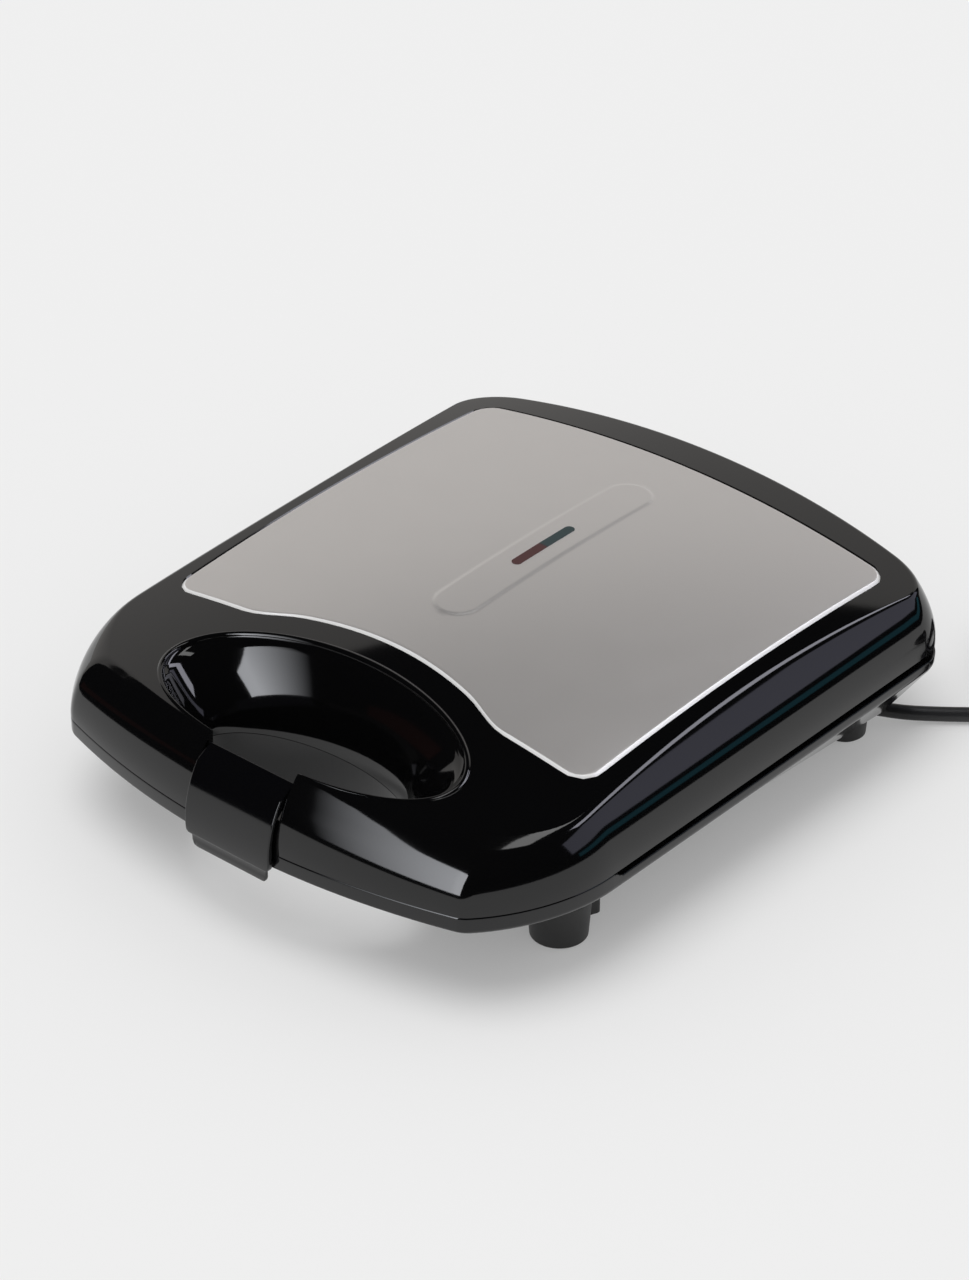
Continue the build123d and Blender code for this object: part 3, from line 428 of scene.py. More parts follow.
def outline(corner, front, flare, side, rear, back, rear_pull=1.0):
    """Closed outline of a housing, anticlockwise from the middle of the front."""
    straight = (side[0] - flare[0], side[1] - flare[1])
    front_way = end_way(front, corner)
    span = math.dist(corner, flare)
    flare_way = (2 * (flare[0] - corner[0]) / span, 2 * (flare[1] - corner[1]) / span)
    unit = (straight[0] / math.hypot(*straight), straight[1] / math.hypot(*straight))
    leave = (flare_way[0] - unit[0], flare_way[1] - unit[1])
    before = (corner[0] - KNEE * front_way[0], corner[1] - KNEE * front_way[1])
    after = (corner[0] + KNEE * leave[0], corner[1] + KNEE * leave[1])
    back_way = end_way(back, rear)
    right_half = arc_through((0, front), bow_point(front, before, corner), before, 28)
    right_half += bend(before, front_way, after, leave, 4)
    right_half += bend(after, leave, flare, straight, 16)
    right_half += [(flare[0] + straight[0] * t, flare[1] + straight[1] * t) for t in SIDE_STEPS]
    right_half += bend(side, straight, rear, (-back_way[0], -back_way[1]), 16, rear_pull)
    right_half += arc_through(rear, bow_point(back, rear, rear), (0, back), 24)
    return right_half + [(0, back)] + [(-x, y) for x, y in reversed(right_half[1:])]


# %% Lid levels
CREASE_LEVEL = 33.0          # height at which the lean of the walls is given
SIDE_LEAN = 16.0
BACK_LEAN = 10.0
FRONT_LEAN = 13.5
CORNER_LEAN = 24.0
DOME_TOP = 45.3
DOME_MIDDLE = 175.0          # where the dome is highest, from the front corners
DOME_LENGTHWISE = 1351.0     # radius of its long curve
DOME_ACROSS = 686.0          # radius of its curve from side to side
HAND_Y = 25.0                # middle of the hand opening at its narrow foot
HAND_HALF = (57.5, 29.0)     # half its length and half its width there
HAND_FLARE = (37.0, 8.7)     # how much both grow up to the datum
HAND_SHIFT = 11.2            # how far its middle moves back


def lid_outline(z, inset=0.0):
    """The lid's outline at a height: its walls lean in as a parabola."""
    rise = (z / CREASE_LEVEL) ** 2
    side_in = SIDE_LEAN * rise + inset
    back_in = BACK_LEAN * rise + inset
    corner = (CORNER_X - 0.5 * inset, CORNER_LEAN * rise + 0.9 * inset)
    front = FRONT_LEAN * rise + inset - FRONT_BOW
    flare = (FLARE[0] - side_in, FLARE[1])
    side = (145.2 - side_in, 284.0)
    rear = (118.0 - 0.6 * side_in, 313.0 - 0.8 * back_in)
    return outline(corner, front, flare, side, rear, 328.0 - back_in, 1.12)


def dome_height(x, y):
    """Height of the lid's domed top."""
    across = DOME_LENGTHWISE - (DOME_ACROSS - math.sqrt(DOME_ACROSS ** 2 - x ** 2))
    return DOME_TOP - DOME_LENGTHWISE + math.sqrt(across ** 2 - (y - DOME_MIDDLE) ** 2)


def funnel(share, angle, grow=0.0):
    """A point of the hand opening: share 0 is its narrow foot, 1 its datum above the dome."""
    a = HAND_HALF[0] + HAND_FLARE[0] * share + grow
    b = HAND_HALF[1] + HAND_FLARE[1] * share + grow
    return (a * math.cos(angle), HAND_Y + HAND_SHIFT * share + b * math.sin(angle))


def funnel_share(z):
    """How far the hand opening has widened at a height."""
    t = max(0.0, (z + 1) / 47.0)
    return t * t * (1.55 - 0.55 * t)


# %% Rings
def verts_of(made):
    """The vertices among what an operator has made."""
    return [item for item in made if isinstance(item, bmesh.types.BMVert)]


def first_ring(work, points):
    """A closed ring of vertices."""
    ring = [work.verts.new(place(*p)) for p in points]
    for a, b in zip(ring, ring[1:] + ring[:1]):
        work.edges.new((a, b))
    return ring


def next_ring(work, ring, points):
    """Extrudes a ring and moves the new one to its points."""
    edges = [work.edges.get((a, b)) for a, b in zip(ring, ring[1:] + ring[:1])]
    made = bmesh.ops.extrude_edge_only(work, edges=edges)["geom"]
    fresh = set(verts_of(made))
    grown = [next(edge.other_vert(vert) for edge in vert.link_edges if edge.other_vert(vert) in fresh)
             for vert in ring]
    for vert, point in zip(grown, points):
        vert.co = place(*point)
    return grown


# %% [markdown]
# Where the wall meets the dome there is a crease. Along the sides and the back it is tight, and
# along the front the wall rolls over much more softly into the grip. A quadratic Bezier curve
# between a point on the wall and a point on the dome gives both, with one number for its reach.
# A listed profile turns the dome down into the hand opening, where a low bead runs all round and
# catches the light as a bright line.

# %% Lid skin
BEAD_WIDTH = 3.4
BEAD = [(0.3, 0.1), (0.6, 0.32), (0.9, 0.52), (1.3, 0.66), (1.7, 0.7), (2.1, 0.64), (2.5, 0.46),
        (2.85, 0.16), (3.15, -0.25), (3.32, -0.7), (3.4, -1.2)]   # along the dome to the opening, and up
RIM_MIDDLE = 34.3            # middle of the hand opening where it meets the dome
RIM_HALF = (83.0, 37.0)
BELOW_RIM = 1.7              # where the wall of the hand opening starts, under the bead
levels = {}


def lid_point(index, z, inset):
    """One point of the wall, from outlines that are kept once worked out."""
    key = (round(z, 2), inset)
    if key not in levels:
        levels[key] = lid_outline(key[0], inset)
    x, y = levels[key][index]
    return Vector((x, y, z))


def toward(a, b, distance, inset):
    """A point of the dome at a level distance from one point towards another."""
    gap = (b - a).xy.length
    spot = a.xy + (b - a).xy * (distance / max(gap, 0.001))
    return Vector((spot.x, spot.y, dome_height(spot.x, spot.y) - inset))


def rolled(a, b, c, t):
    """A point of a quadratic curve that rounds the corner b between a and c."""
    return a * (1 - t) ** 2 + b * (2 * t * (1 - t)) + c * t ** 2


def crease_heights(inset):
    """The height at which the wall meets the dome, at each point of the outline."""
    heights = []
    for index in range(len(lid_outline(0.0))):
        low, high = 12.0, 46.0
        for _ in range(14):
            z = (low + high) / 2
            p = lid_point(index, z, inset)
            low, high = (z, high) if z < dome_height(p.x, p.y) - inset else (low, z)
        heights.append(low)
    return heights


def crease_reaches(inset):
    """How far the crease is rounded: little at the sides and the back, more along the front."""
    reaches = []
    for index in range(len(lid_outline(0.0))):
        soft = min(1.0, max(0.0, (52.0 - lid_point(index, 0.0, inset).y) / 60.0))
        reaches.append(2.0 + 9.0 * soft * soft * (3 - 2 * soft))
    return reaches


def hand_rim(top, inset):
    """Where the dome meets the hand opening, seen from a point of the crease, and its angle."""
    angle = math.atan2((top.y - RIM_MIDDLE) / RIM_HALF[1], top.x / RIM_HALF[0])
    share = 0.8
    for _ in range(8):
        x, y = funnel(share, angle, inset)
        share = funnel_share(dome_height(x, y) - inset)
    x, y = funnel(share, angle, inset)
    return Vector((x, y, dome_height(x, y) - inset)), angle


def hand_point(z, angle, inset):
    """A point of the hand opening's wall at a height."""
    x, y = funnel(funnel_share(z), angle, inset)
    return Vector((x, y, z))


def bead_rings(lips, rims, inset):
    """Rings over the bead, sized by the gap between the dome's last ring and the opening."""
    rings = []
    spans = [(rim - lip).xy.length for lip, (rim, _) in zip(lips, rims)]
    for part, rise in BEAD:
        rings.append([toward(lip, rim, part / BEAD_WIDTH * span, inset)
                      + Vector((0, 0, rise / BEAD_WIDTH * span))
                      for lip, (rim, _), span in zip(lips, rims, spans)])
    return rings


def lid_rings(inset, foot):
    """Rings from the parting line over the dome and down the hand opening, drawn in by a wall."""
    creases = crease_heights(inset)
    reach = crease_reaches(inset)
    count = len(creases)
    rings = [[lid_point(i, foot, inset) for i in range(count)]] if foot < 0 else []
    for step in range(13):
        rings.append([lid_point(i, step / 12 * (creases[i] - reach[i]), inset) for i in range(count)])
    wall_ends = rings[-1]
    tops = [lid_point(i, creases[i], inset) for i in range(count)]
    rims = [hand_rim(top, inset) for top in tops]
    inner = [toward(top, rim, min(r, 0.4 * (rim - top).xy.length), inset)
             for top, (rim, _), r in zip(tops, rims, reach)]
    lips = [toward(rim, spot, min(BEAD_WIDTH, 0.9 * (rim - spot).xy.length), inset)
            for (rim, _), spot in zip(rims, inner)]
    for step in range(1, 7):
        rings.append([rolled(a, b, c, step / 6) for a, b, c in zip(wall_ends, tops, inner)])
    for step in range(1, 27):
        rings.append([toward(a, b, (b - a).xy.length * step / 26, inset) for a, b in zip(inner, lips)])
    rings += bead_rings(lips, rims, inset)
    below = [hand_point(rim.z - BELOW_RIM, angle, inset) for rim, angle in rims]
    rings.append(below)
    for step in range(1, 15):
        rings.append([hand_point(start.z + (foot - start.z) * step / 14, angle, inset)
                      for start, (_, angle) in zip(below, rims)])
    return rings


# %% [markdown]
# A skin becomes a closed solid when its last ring is joined to its first. Cuts and additions
# are exact booleans with other closed solids.

# %% Solids and carving
def closed_solid(rings):
    """Grows rings into a skin and joins the last one to the first."""
    work = bmesh.new()
    ring = first_ring(work, rings[0])
    for points in rings[1:] + [rings[0]]:
        ring = next_ring(work, ring, points)
    return as_mesh(work, "rings")


def as_mesh(work, name):
    """Merges doubles, turns the faces outwards and makes the mesh."""
    bmesh.ops.remove_doubles(work, verts=work.verts, dist=0.000001)
    bmesh.ops.recalc_face_normals(work, faces=work.faces)
    mesh = bpy.data.meshes.new(name)
    work.to_mesh(mesh)
    work.free()
    return mesh


def bar(x0, x1, y0, y1, z0, z1):
    """A closed box between two corners."""
    work = bmesh.new()
    bmesh.ops.create_cube(work, size=1.0)
    size = place(x1, y1, z1) - place(x0, y0, z0)
    middle = (place(x1, y1, z1) + place(x0, y0, z0)) / 2
    bmesh.ops.scale(work, vec=size, verts=work.verts)
    bmesh.ops.translate(work, vec=middle, verts=work.verts)
    return as_mesh(work, "bar")


def column(points, z0, z1):
    """A closed column over a flat outline."""
    work = bmesh.new()
    ring = first_ring(work, [(x, y, z0) for x, y in points])
    made = bmesh.ops.contextual_create(work, geom=ring)
    top = bmesh.ops.extrude_face_region(work, geom=made["faces"])["geom"]
    bmesh.ops.translate(work, vec=(0, 0, (z1 - z0) / 1000), verts=verts_of(top))
    return as_mesh(work, "column")


def carve(mesh, steps):
    """Cuts closed meshes out of a mesh, or adds them, and returns the result."""
    body = add("carving", mesh)
    tools = []
    for operation, tool_mesh in steps:
        tool = add("carving_tool", tool_mesh)
        step = body.modifiers.new(operation.lower(), "BOOLEAN")
        step.operation = operation
        step.solver = "EXACT"
        step.object = tool
        tools.append(tool)
    graph = bpy.context.evaluated_depsgraph_get()
    result = bpy.data.meshes.new_from_object(body.evaluated_get(graph))
    for helper in tools + [body]:
        bpy.data.objects.remove(helper)
    return result


# %% [markdown]
# A boolean leaves long thin faces round a cut, and their averaged normals would show as ripples
# in the reflections. So the corners that lie on the dome get the dome's own normal.

# %% Even shading on the dome
ON_DOME = 0.03               # how near to the dome a corner counts as lying on it


def dome_normal(x, y):
    """The dome's own normal, from its heights close by."""
    slope_x = (dome_height(x + 1, y) - dome_height(x - 1, y)) / 2
    slope_y = (dome_height(x, y + 1) - dome_height(x, y - 1)) / 2
    return Vector((-slope_x, -slope_y, 1.0)).normalized()


def even_dome(mesh):
    """Gives every corner that lies on the dome its normal, so that cuts leave no ripples."""
    normals = [Vector(corner.vector) for corner in mesh.corner_normals]
    count = 0
    for face in mesh.polygons:
        if face.normal.z < 0.75:
            continue
        for loop in face.loop_indices:
            spot = mesh.vertices[mesh.loops[loop].vertex_index].co * 1000
            x, y, z = spot.x, spot.y + MIDDLE_Y, spot.z - TABLE_DROP
            if abs(z - dome_height(x, y)) < ON_DOME:
                normals[loop] = dome_normal(x, y)
                count += 1
    mesh.normals_split_custom_set(normals)
    return count


# %% [markdown]
# The satin steel cover is one sheet pressed to the dome, with a rolled edge whose bright line is a
# painted highlight on top of what the edge mirrors, and a shallow raised field round the
# indicator. It starts as a grid. Its columns stand closer in the middle, where the raised field's
# edge needs them. Each column and row is put between the four edges of the sheet, and the dome
# gives the height. The border is then extruded outwards and down to make the rolled edge. The
# same edges, drawn a little larger, cut the seat for the sheet in the lid.

# %% Edges of the steel cover
COVER_SIDE = 119.5
COVER_FRONT = 72.0
COVER_MIDDLE = 87.5
COVER_BACK = 293.0
COVER_BOW = 3.5
COVER_CORNER = 11.0
CORNER_CUT = 1 - math.sqrt(0.5)   # how far a round corner's middle lies inside, as a share of its radius


def half_chord(radius, away):
    """How far a circle still reaches at a distance from its centre line."""
    return math.sqrt(max(0.0, radius ** 2 - away ** 2))


def cover_front(x, grow):
    """Front edge: straight near the corners, then bowed back round the hand opening."""
    side = COVER_SIDE + grow
    radius = COVER_CORNER + grow
    x = abs(x)
    if x > side - radius:
        return COVER_FRONT - grow + radius - half_chord(radius, x - side + radius)
    between = COVER_FRONT + 0.58 * (COVER_MIDDLE - COVER_FRONT)
    knots = [(0.0, COVER_MIDDLE, 0.0), (0.4 * side, between, -0.27), (0.63 * side, COVER_FRONT, 0.0)]
    for (x0, y0, m0), (x1, y1, m1) in zip(knots, knots[1:]):
        if x <= x1:
            t = (x - x0) / (x1 - x0)
            return (y0 * (2 * t ** 3 - 3 * t ** 2 + 1) + m0 * (x1 - x0) * (t ** 3 - 2 * t ** 2 + t)
                    + y1 * (3 * t ** 2 - 2 * t ** 3) + m1 * (x1 - x0) * (t ** 3 - t ** 2)) - grow
    return COVER_FRONT - grow


def cover_back(x, grow):
    """Back edge: a shallow bow with round corners."""
    side = COVER_SIDE + grow
    radius = COVER_CORNER + grow
    x = abs(x)
    straight = min(x, side - radius)
    y = COVER_BACK + grow - COVER_BOW * (straight / side) ** 2
    if x > side - radius:
        y += half_chord(radius, x - side + radius) - radius
    return y


def cover_side(y, grow):
    """Side edge with the round corners at both ends."""
    side = COVER_SIDE + grow
    radius = COVER_CORNER + grow
    low = COVER_FRONT - grow + radius
    high = cover_back(side - radius, grow) - radius
    away = max(low - y, y - high, 0.0)
    return side - radius + half_chord(radius, away)


def cover_spot(column_share, row_share, grow):
    """A point of the sheet: shares run from -1 to 1 across and from 0 to 1 to the back."""
    side = COVER_SIDE + grow
    radius = COVER_CORNER + grow
    reach = side - radius * CORNER_CUT
    low = COVER_FRONT - grow + radius * CORNER_CUT
    high = cover_back(side - radius, grow) - radius * CORNER_CUT
    x = column_share * reach
    y = (1 - row_share) * cover_front(x, grow) + row_share * cover_back(x, grow)
    edge_y = low + row_share * (high - low)
    x += column_share * (cover_side(edge_y, grow) - reach)
    if abs(column_share) > 0.999:
        return column_share * cover_side(edge_y, grow), edge_y
    return x, y


# %% Steel cover
SHEET_LIFT = 0.4             # the sheet's face above the dome
SHEET_INSET = -3.0           # where the flat grid ends and the rolled edge begins
ROLLED_EDGE = ((-1.7, 0.0), (-1.5, 0.03), (-1.25, 0.2), (-0.85, 0.52), (-0.4, 0.9), (0.0, 1.2))   # out, down
COLUMN_SPAN = 116.0          # half the sheet's width, as the grid's columns measure it
FIELD_ENDS = (131.0, 250.0)  # centres of the raised field's round ends
FIELD_HALF = 12.0
FIELD_EDGE = 1.7
FIELD_RISE = 0.4


def raised_field(x, y):
    """Height of the raised field round the indicator."""
    away = math.hypot(x, max(FIELD_ENDS[0] - y, y - FIELD_ENDS[1], 0.0))
    t = min(1.0, max(0.0, (FIELD_HALF - away) / FIELD_EDGE))
    return FIELD_RISE * t * t * (3 - 2 * t)


def sheet(columns, rows, grow, lift):
    """A grid that lies on the dome between the sheet's edges."""
    work = bmesh.new()
    across, along = len(columns) - 1, len(rows) - 1
    made = bmesh.ops.create_grid(work, x_segments=across, y_segments=along, size=0.5)["verts"]
    shares = {}
    for vert in made:
        shares[vert] = (columns[round((vert.co.x + 0.5) * across)], rows[round((vert.co.y + 0.5) * along)])
    for vert, (c, r) in shares.items():
        x, y = cover_spot(c, r, grow)
        vert.co = place(x, y, dome_height(x, y) + lift(x, y))
    return work, shares


def spaced(stops):
    """Values with a chosen step in each stretch: pairs of end and step."""
    values = [stops[0]]
    for end, step in stops[1:]:
        start = values[-1]
        count = max(1, round((end - start) / step))
        values += [start + (end - start) * k / count for k in range(1, count + 1)]
    return values


def roll_edge(work, shares):
    """Extrudes the sheet's border outwards and down. Each new vertex keeps its neighbour's shares."""
    edges = [edge for edge in work.edges if edge.is_boundary]
    for grow, drop in ROLLED_EDGE:
        made = bmesh.ops.extrude_edge_only(work, edges=edges)["geom"]
        known = dict(shares)
        for vert in verts_of(made):
            near = [edge.other_vert(vert) for edge in vert.link_edges]
            shares[vert] = next(known[other] for other in near if other in known)
            x, y = cover_spot(*shares[vert], grow)
            vert.co = place(x, y, dome_height(x, y) + SHEET_LIFT - drop)
        edges = [item for item in made if isinstance(item, bmesh.types.BMEdge)]


half_columns = spaced([0.0, (16.0, 0.8), (COLUMN_SPAN, 2.5)])
columns = [-x / COLUMN_SPAN for x in reversed(half_columns[1:])] + [x / COLUMN_SPAN for x in half_columns]
row_places = spaced([COVER_MIDDLE, (117.0, 2.4), (134.0, 0.8), (247.0, 2.6), (264.0, 0.8), (COVER_BACK, 2.4)])
rows = [(y - COVER_MIDDLE) / (COVER_BACK - COVER_MIDDLE) for y in row_places]
work, shares = sheet(columns, rows, SHEET_INSET, lambda x, y: SHEET_LIFT + raised_field(x, y))
roll_edge(work, shares)
cover_mesh = as_mesh(work, "steel_cover")
if sum(face.normal.z for face in cover_mesh.polygons) < 0:
    cover_mesh.flip_normals()
smooth_by_angle(cover_mesh, 60)
steel_cover = show("steel_cover", cover_mesh, ["lid_cover_plate"], "lid", "cover_steel")
print("steel cover", len(cover_mesh.polygons), "faces")

# %% [markdown]
# The lid's shell is its skin less the latch's notch and the seat of the steel cover. One fault
# is left here. The shell should also lose its hollow, but taking the liner of the notch out of
# the hollow first leaves an empty mesh, so nothing is hollowed and the shell stays solid down to
# the parting line. Without that one cut the hollow works. The hinge arms come from the CAD mesh.

# %% Lid shell
WALL = 2.5
SEAT_GAP = 0.35              # between the steel cover's edge and its seat
SEAT_DEPTH = 0.8
SEAT_STEPS = 40

outside = closed_solid(lid_rings(0.0, 0.0))
hollow = closed_solid(lid_rings(WALL, -1.0))
seat_columns = [i / (SEAT_STEPS // 2) - 1 for i in range(SEAT_STEPS + 1)]
seat_rows = [i / SEAT_STEPS for i in range(SEAT_STEPS + 1)]
seat_work, _ = sheet(seat_columns, seat_rows, SEAT_GAP, lambda x, y: -SEAT_DEPTH)
lifted = bmesh.ops.extrude_face_region(seat_work, geom=list(seat_work.faces))["geom"]
bmesh.ops.translate(seat_work, vec=(0, 0, 0.006), verts=verts_of(lifted))
cover_seat = as_mesh(seat_work, "cover_seat")
liner = bar(-28.8, 28.8, -25.5, -1.5, 10.7, 60.0)
notch = bar(-24.8, 24.8, -40.0, 25.0, 13.2, 60.0)
hollow = carve(hollow, [("DIFFERENCE", liner)])
lid_mesh = carve(outside, [("DIFFERENCE", hollow), ("DIFFERENCE", notch), ("DIFFERENCE", cover_seat)])
arms = bmesh.new()
arms.from_mesh(frame["nodes"]["upper_housing"].data)
bmesh.ops.remove_doubles(arms, verts=arms.verts, dist=0.000002)
everything = arms.verts[:] + arms.edges[:] + arms.faces[:]
bmesh.ops.bisect_plane(arms, geom=everything, dist=0.000001, plane_co=place(0, 0, -0.02), plane_no=(0, 0, 1),
                       clear_outer=True)
bmesh.ops.holes_fill(arms, edges=[edge for edge in arms.edges if edge.is_boundary])
arms.from_mesh(lid_mesh)
arms.to_mesh(lid_mesh)
arms.free()
smooth_by_angle(lid_mesh, 32)
print("corners on the dome", even_dome(lid_mesh))
lid_shell = show("lid_shell", lid_mesh, ["upper_housing"], "lid", "housing")
print("lid shell", len(lid_mesh.polygons), "faces")

# %% [markdown]
# The base is grown in the same way, from its flat bottom. The wall leans outwards up to a lip,
# then a level deck runs in to the hand opening. Beside and behind the plates the deck lies a
# little lower than in front, which leaves the dark gap under the lid. The well for the heating
# plate is cut out afterwards, and the ears of the hinge are added. The grip in front of the hand
# opening is left solid.

# %% Base shell
BASE_DEPTH = 36.0            # from the parting line to the flat bottom
GRIP_DECK = -0.3             # level of the deck round the hand opening
SLOPE = (65.0, 70.5)         # where the deck starts to fall and where it is down
DECK_FALL = 3.2
HINGE = (321.5, -9.5)        # Y and Z of the hinge's axis
EAR_PLACES = (-103.0, -83.0, 83.0, 103.0)


def base_outline(draw, inset=0.0):
    """The base's outline: draw is 0 at the lip and 1 at the flat bottom."""
    front = -FRONT_BOW + inset + 75.5 * draw
    corner = (CORNER_X - 16 * draw - 0.5 * inset, 62 * draw + 0.9 * inset)
    flare = (FLARE[0] - 29.0 * draw - inset, FLARE[1] + 26 * draw)
    side = (145.8 - 19.3 * draw - inset, 286.0 - 8 * draw)
    rear = (116.5 - 6.5 * draw - 0.85 * inset, 312.5 - 13 * draw - 0.8 * inset)
    return outline(corner, front, flare, side, rear, 327.5 - 24 * draw - inset)


def ellipse(half_x, half_y, angles):
    """Points of the hand opening's ellipse in the base."""
    return [(half_x * math.cos(a), HAND_Y + half_y * math.sin(a)) for a in angles]


def base_rings():
    """Rings from the flat bottom, up the wall, over the lip and in towards the hand opening."""
    rings = []
    for draw, inset, z in ((1.0, 0.5, -BASE_DEPTH), (0.995, 0.15, -35.9), (0.985, 0.0, -35.6)):
        rings.append([(x, y, z) for x, y in base_outline(draw, inset)])
    for step in range(1, 9):
        t = step / 8
        rings.append([(x, y, -35.6 + 26.1 * t) for x, y in base_outline(0.985 * (1 - t) + 0.045 * t)])
    for draw, inset, z in ((0.018, 0.0, -8.5), (0.004, 0.0, -7.6), (0.0, 0.0, -6.6)):
        rings.append([(x, y, z) for x, y in base_outline(draw, inset)])
    for inset, drop in ((0.0, 1.0), (0.08, 0.5), (0.35, 0.12), (0.9, 0.0), (2.5, 0.0)):
        rings.append([(x, y, GRIP_DECK - drop) for x, y in base_outline(0.0, inset)])
    start = rings[-1]
    angles = [math.atan2((y - HAND_Y) / HAND_HALF[1], x / HAND_HALF[0]) for x, y, _ in start]
    goal = ellipse(50.0, 22.0, angles)
    for step in range(1, 25):
        rings.append([(x0 + (x1 - x0) * step / 24, y0 + (y1 - y0) * step / 24, GRIP_DECK)
                      for (x0, y0, _), (x1, y1) in zip(start, goal)])
    return rings


def capped_solid(rings):
    """Grows rings into a skin and closes its first and last ring with flat faces."""
    work = bmesh.new()
    first = ring = first_ring(work, rings[0])
    for points in rings[1:]:
        ring = next_ring(work, ring, points)
    bmesh.ops.contextual_create(work, geom=first)
    bmesh.ops.contextual_create(work, geom=ring)
    return as_mesh(work, "rings")


def lower_deck(mesh):
    """Cuts the deck along both edges of its slope, and lowers the part beside the plates."""
    work = bmesh.new()
    work.from_mesh(mesh)
    for y in SLOPE:
        everything = work.verts[:] + work.edges[:] + work.faces[:]
        bmesh.ops.bisect_plane(work, geom=everything, plane_co=place(0, y, 0), plane_no=(0, 1, 0))
    front, back = (place(0, y, 0)[1] for y in SLOPE)
    for vert in work.verts:
        if vert.co.z > place(0, 0, -2.0)[2]:
            vert.co.z -= DECK_FALL / 1000 * min(1.0, max(0.0, (vert.co.y - front) / (back - front)))
    work.to_mesh(mesh)
    work.free()
    return mesh


def rounded_box(half, front, back, radius, count=8):
    """Outline of a rounded rectangle, anticlockwise."""
    points = []
    for cx, cy, start in ((half - radius, front + radius, -90), (half - radius, back - radius, 0),
                          (radius - half, back - radius, 90), (radius - half, front + radius, 180)):
        for k in range(count + 1):
            a = math.radians(start + 90 * k / count)
            points.append((cx + radius * math.cos(a), cy + radius * math.sin(a)))
    return points


well = column(rounded_box(122.4, 69.6, 296.4, 8.4), -33.4, 5.0)
hand_hole = column(ellipse(*HAND_HALF, [2 * math.pi * i / 120 for i in range(120)]), -60.0, 5.0)
steps = [("DIFFERENCE", well), ("DIFFERENCE", hand_hole)]
for side in (-1, 1):
    steps.append(("DIFFERENCE", bar(side * 93 - 7, side * 93 + 7, 313.5, 345.0, -36.5, 12.0)))
base_mesh = carve(lower_deck(capped_solid(base_rings())), steps)
ears = bmesh.new()
ears.from_mesh(base_mesh)
for x in EAR_PLACES:
    turn = Matrix.Translation(place(x, *HINGE)) @ Matrix.Rotation(math.pi / 2, 4, "Y")
    bmesh.ops.create_cone(ears, cap_ends=True, segments=48, radius1=0.007, radius2=0.007, depth=0.006,
                          matrix=turn)
    block = Matrix.Translation(place(x, 315.0, -10.15)) @ Matrix.Diagonal((0.006, 0.013, 0.0127, 1))
    bmesh.ops.create_cube(ears, size=1.0, matrix=block)
ears.to_mesh(base_mesh)
ears.free()
smooth_by_angle(base_mesh, 28)
base_shell = show("base_shell", base_mesh, ["lower_housing"], "base", "base_black")
even_faces(base_shell)
print("base shell", len(base_mesh.polygons), "faces")

# %% [markdown]
# The latch is one moulded strip. Its outline from the side is a ring of points, and rings are
# grown from it across the clip. The lower edge is rounded by keeping every ring above a height
# that depends on its place: once at the corners of the face, and again at the narrower lip.
# The outermost rings are drawn in, which rounds the edges of the two ends.

# %% Latch clip
LATCH_PIN = (-7.2, 21.5)     # Y and Z of the axis that the clip swings about


def arc_way(a, m, b, count):
    """Points on the circle through a, m and b, whichever way round it runs."""
    if (m[0] - a[0]) * (b[1] - a[1]) - (m[1] - a[1]) * (b[0] - a[0]) < 0:
        return list(reversed(arc_through(b, m, a, count)))
    return arc_through(a, m, b, count)


def latch_outline():
    """The clip from the side, as Y and Z: round the top's back edge, down the face, up inside."""
    crown = [(-3.4 + 0.8 * math.cos(math.radians(a)), 28.24 + 0.8 * math.sin(math.radians(a)))
             for a in range(0, 120, 17)]
    face = arc_way((-11.6, 24.6), (-17.9, 13.0), (-20.7, -4.5), 30)
    turn = [(-10.4, 25.27), (-10.9, 24.97), (-11.35, 24.66), (-11.75, 24.32), (-12.1, 23.9)]
    lip = [(-20.7, -4.5), (-20.6, -7.4), (-20.45, -8.1), (-20.1, -8.6), (-19.7, -8.8), (-19.5, -9.2),
           (-19.35, -12.0), (-19.2, -14.5), (-18.95, -15.1), (-18.6, -15.4), (-18.1, -15.4)]
    inner = arc_way((-18.1, -5.0), (-17.8, 4.0), (-16.2, 12.4), 8)
    return (crown + turn + [p for p in face if p[1] < 23.5] + lip + inner
            + [(-16.2, 12.4), (-14.6, 15.5), (-9.8, 20.0), (-5.2, 24.4), (-2.6, 27.4)])


def drawn_in(points, by):
    """A closed outline, anticlockwise, drawn in by a distance."""
    result = []
    for before, at, after in zip(points[-1:] + points[:-1], points, points[1:] + points[:1]):
        way = (after[0] - before[0], after[1] - before[1])
        length = math.hypot(*way)
        result.append((at[0] - by * way[1] / length, at[1] + by * way[0] / length))
    return result


def latch_foot(x):
    """Height of the clip's lower edge."""
    if abs(x) > 21.4:
        return -4.0 - 4.6 * half_chord(1, (abs(x) - 21.4) / 2.8)
    return -11.9 - 3.5 * half_chord(1, max(0.0, abs(x) - 17.9) / 3.5)


plain_places = (0.0, 6.0, 12.0, 17.9, 18.8, 19.6, 20.3, 20.9, 21.38, 21.42, 22.0, 22.7, 23.3, 23.65)
half_places = [(x, 0.0) for x in plain_places] + [(23.85, 0.04), (24.05, 0.16), (24.17, 0.33), (24.2, 0.5)]
places = [(-x, by) for x, by in reversed(half_places[1:])] + half_places
side_line = latch_outline()
work = bmesh.new()
ring = None
for x, by in places:
    points = [(x, y, max(z, latch_foot(x) + by)) for y, z in drawn_in(side_line, by)]
    ring = next_ring(work, ring, points) if ring else first_ring(work, points)
bmesh.ops.holes_fill(work, edges=[edge for edge in work.edges if edge.is_boundary], sides=0)
barrel_turn = Matrix.Translation(place(0, *LATCH_PIN)) @ Matrix.Rotation(math.pi / 2, 4, "Y")
bmesh.ops.create_cone(work, cap_ends=True, segments=40, radius1=0.0035, radius2=0.0035, depth=0.0482,
                      matrix=barrel_turn)
latch_mesh = as_mesh(work, "latch_clip_smooth")
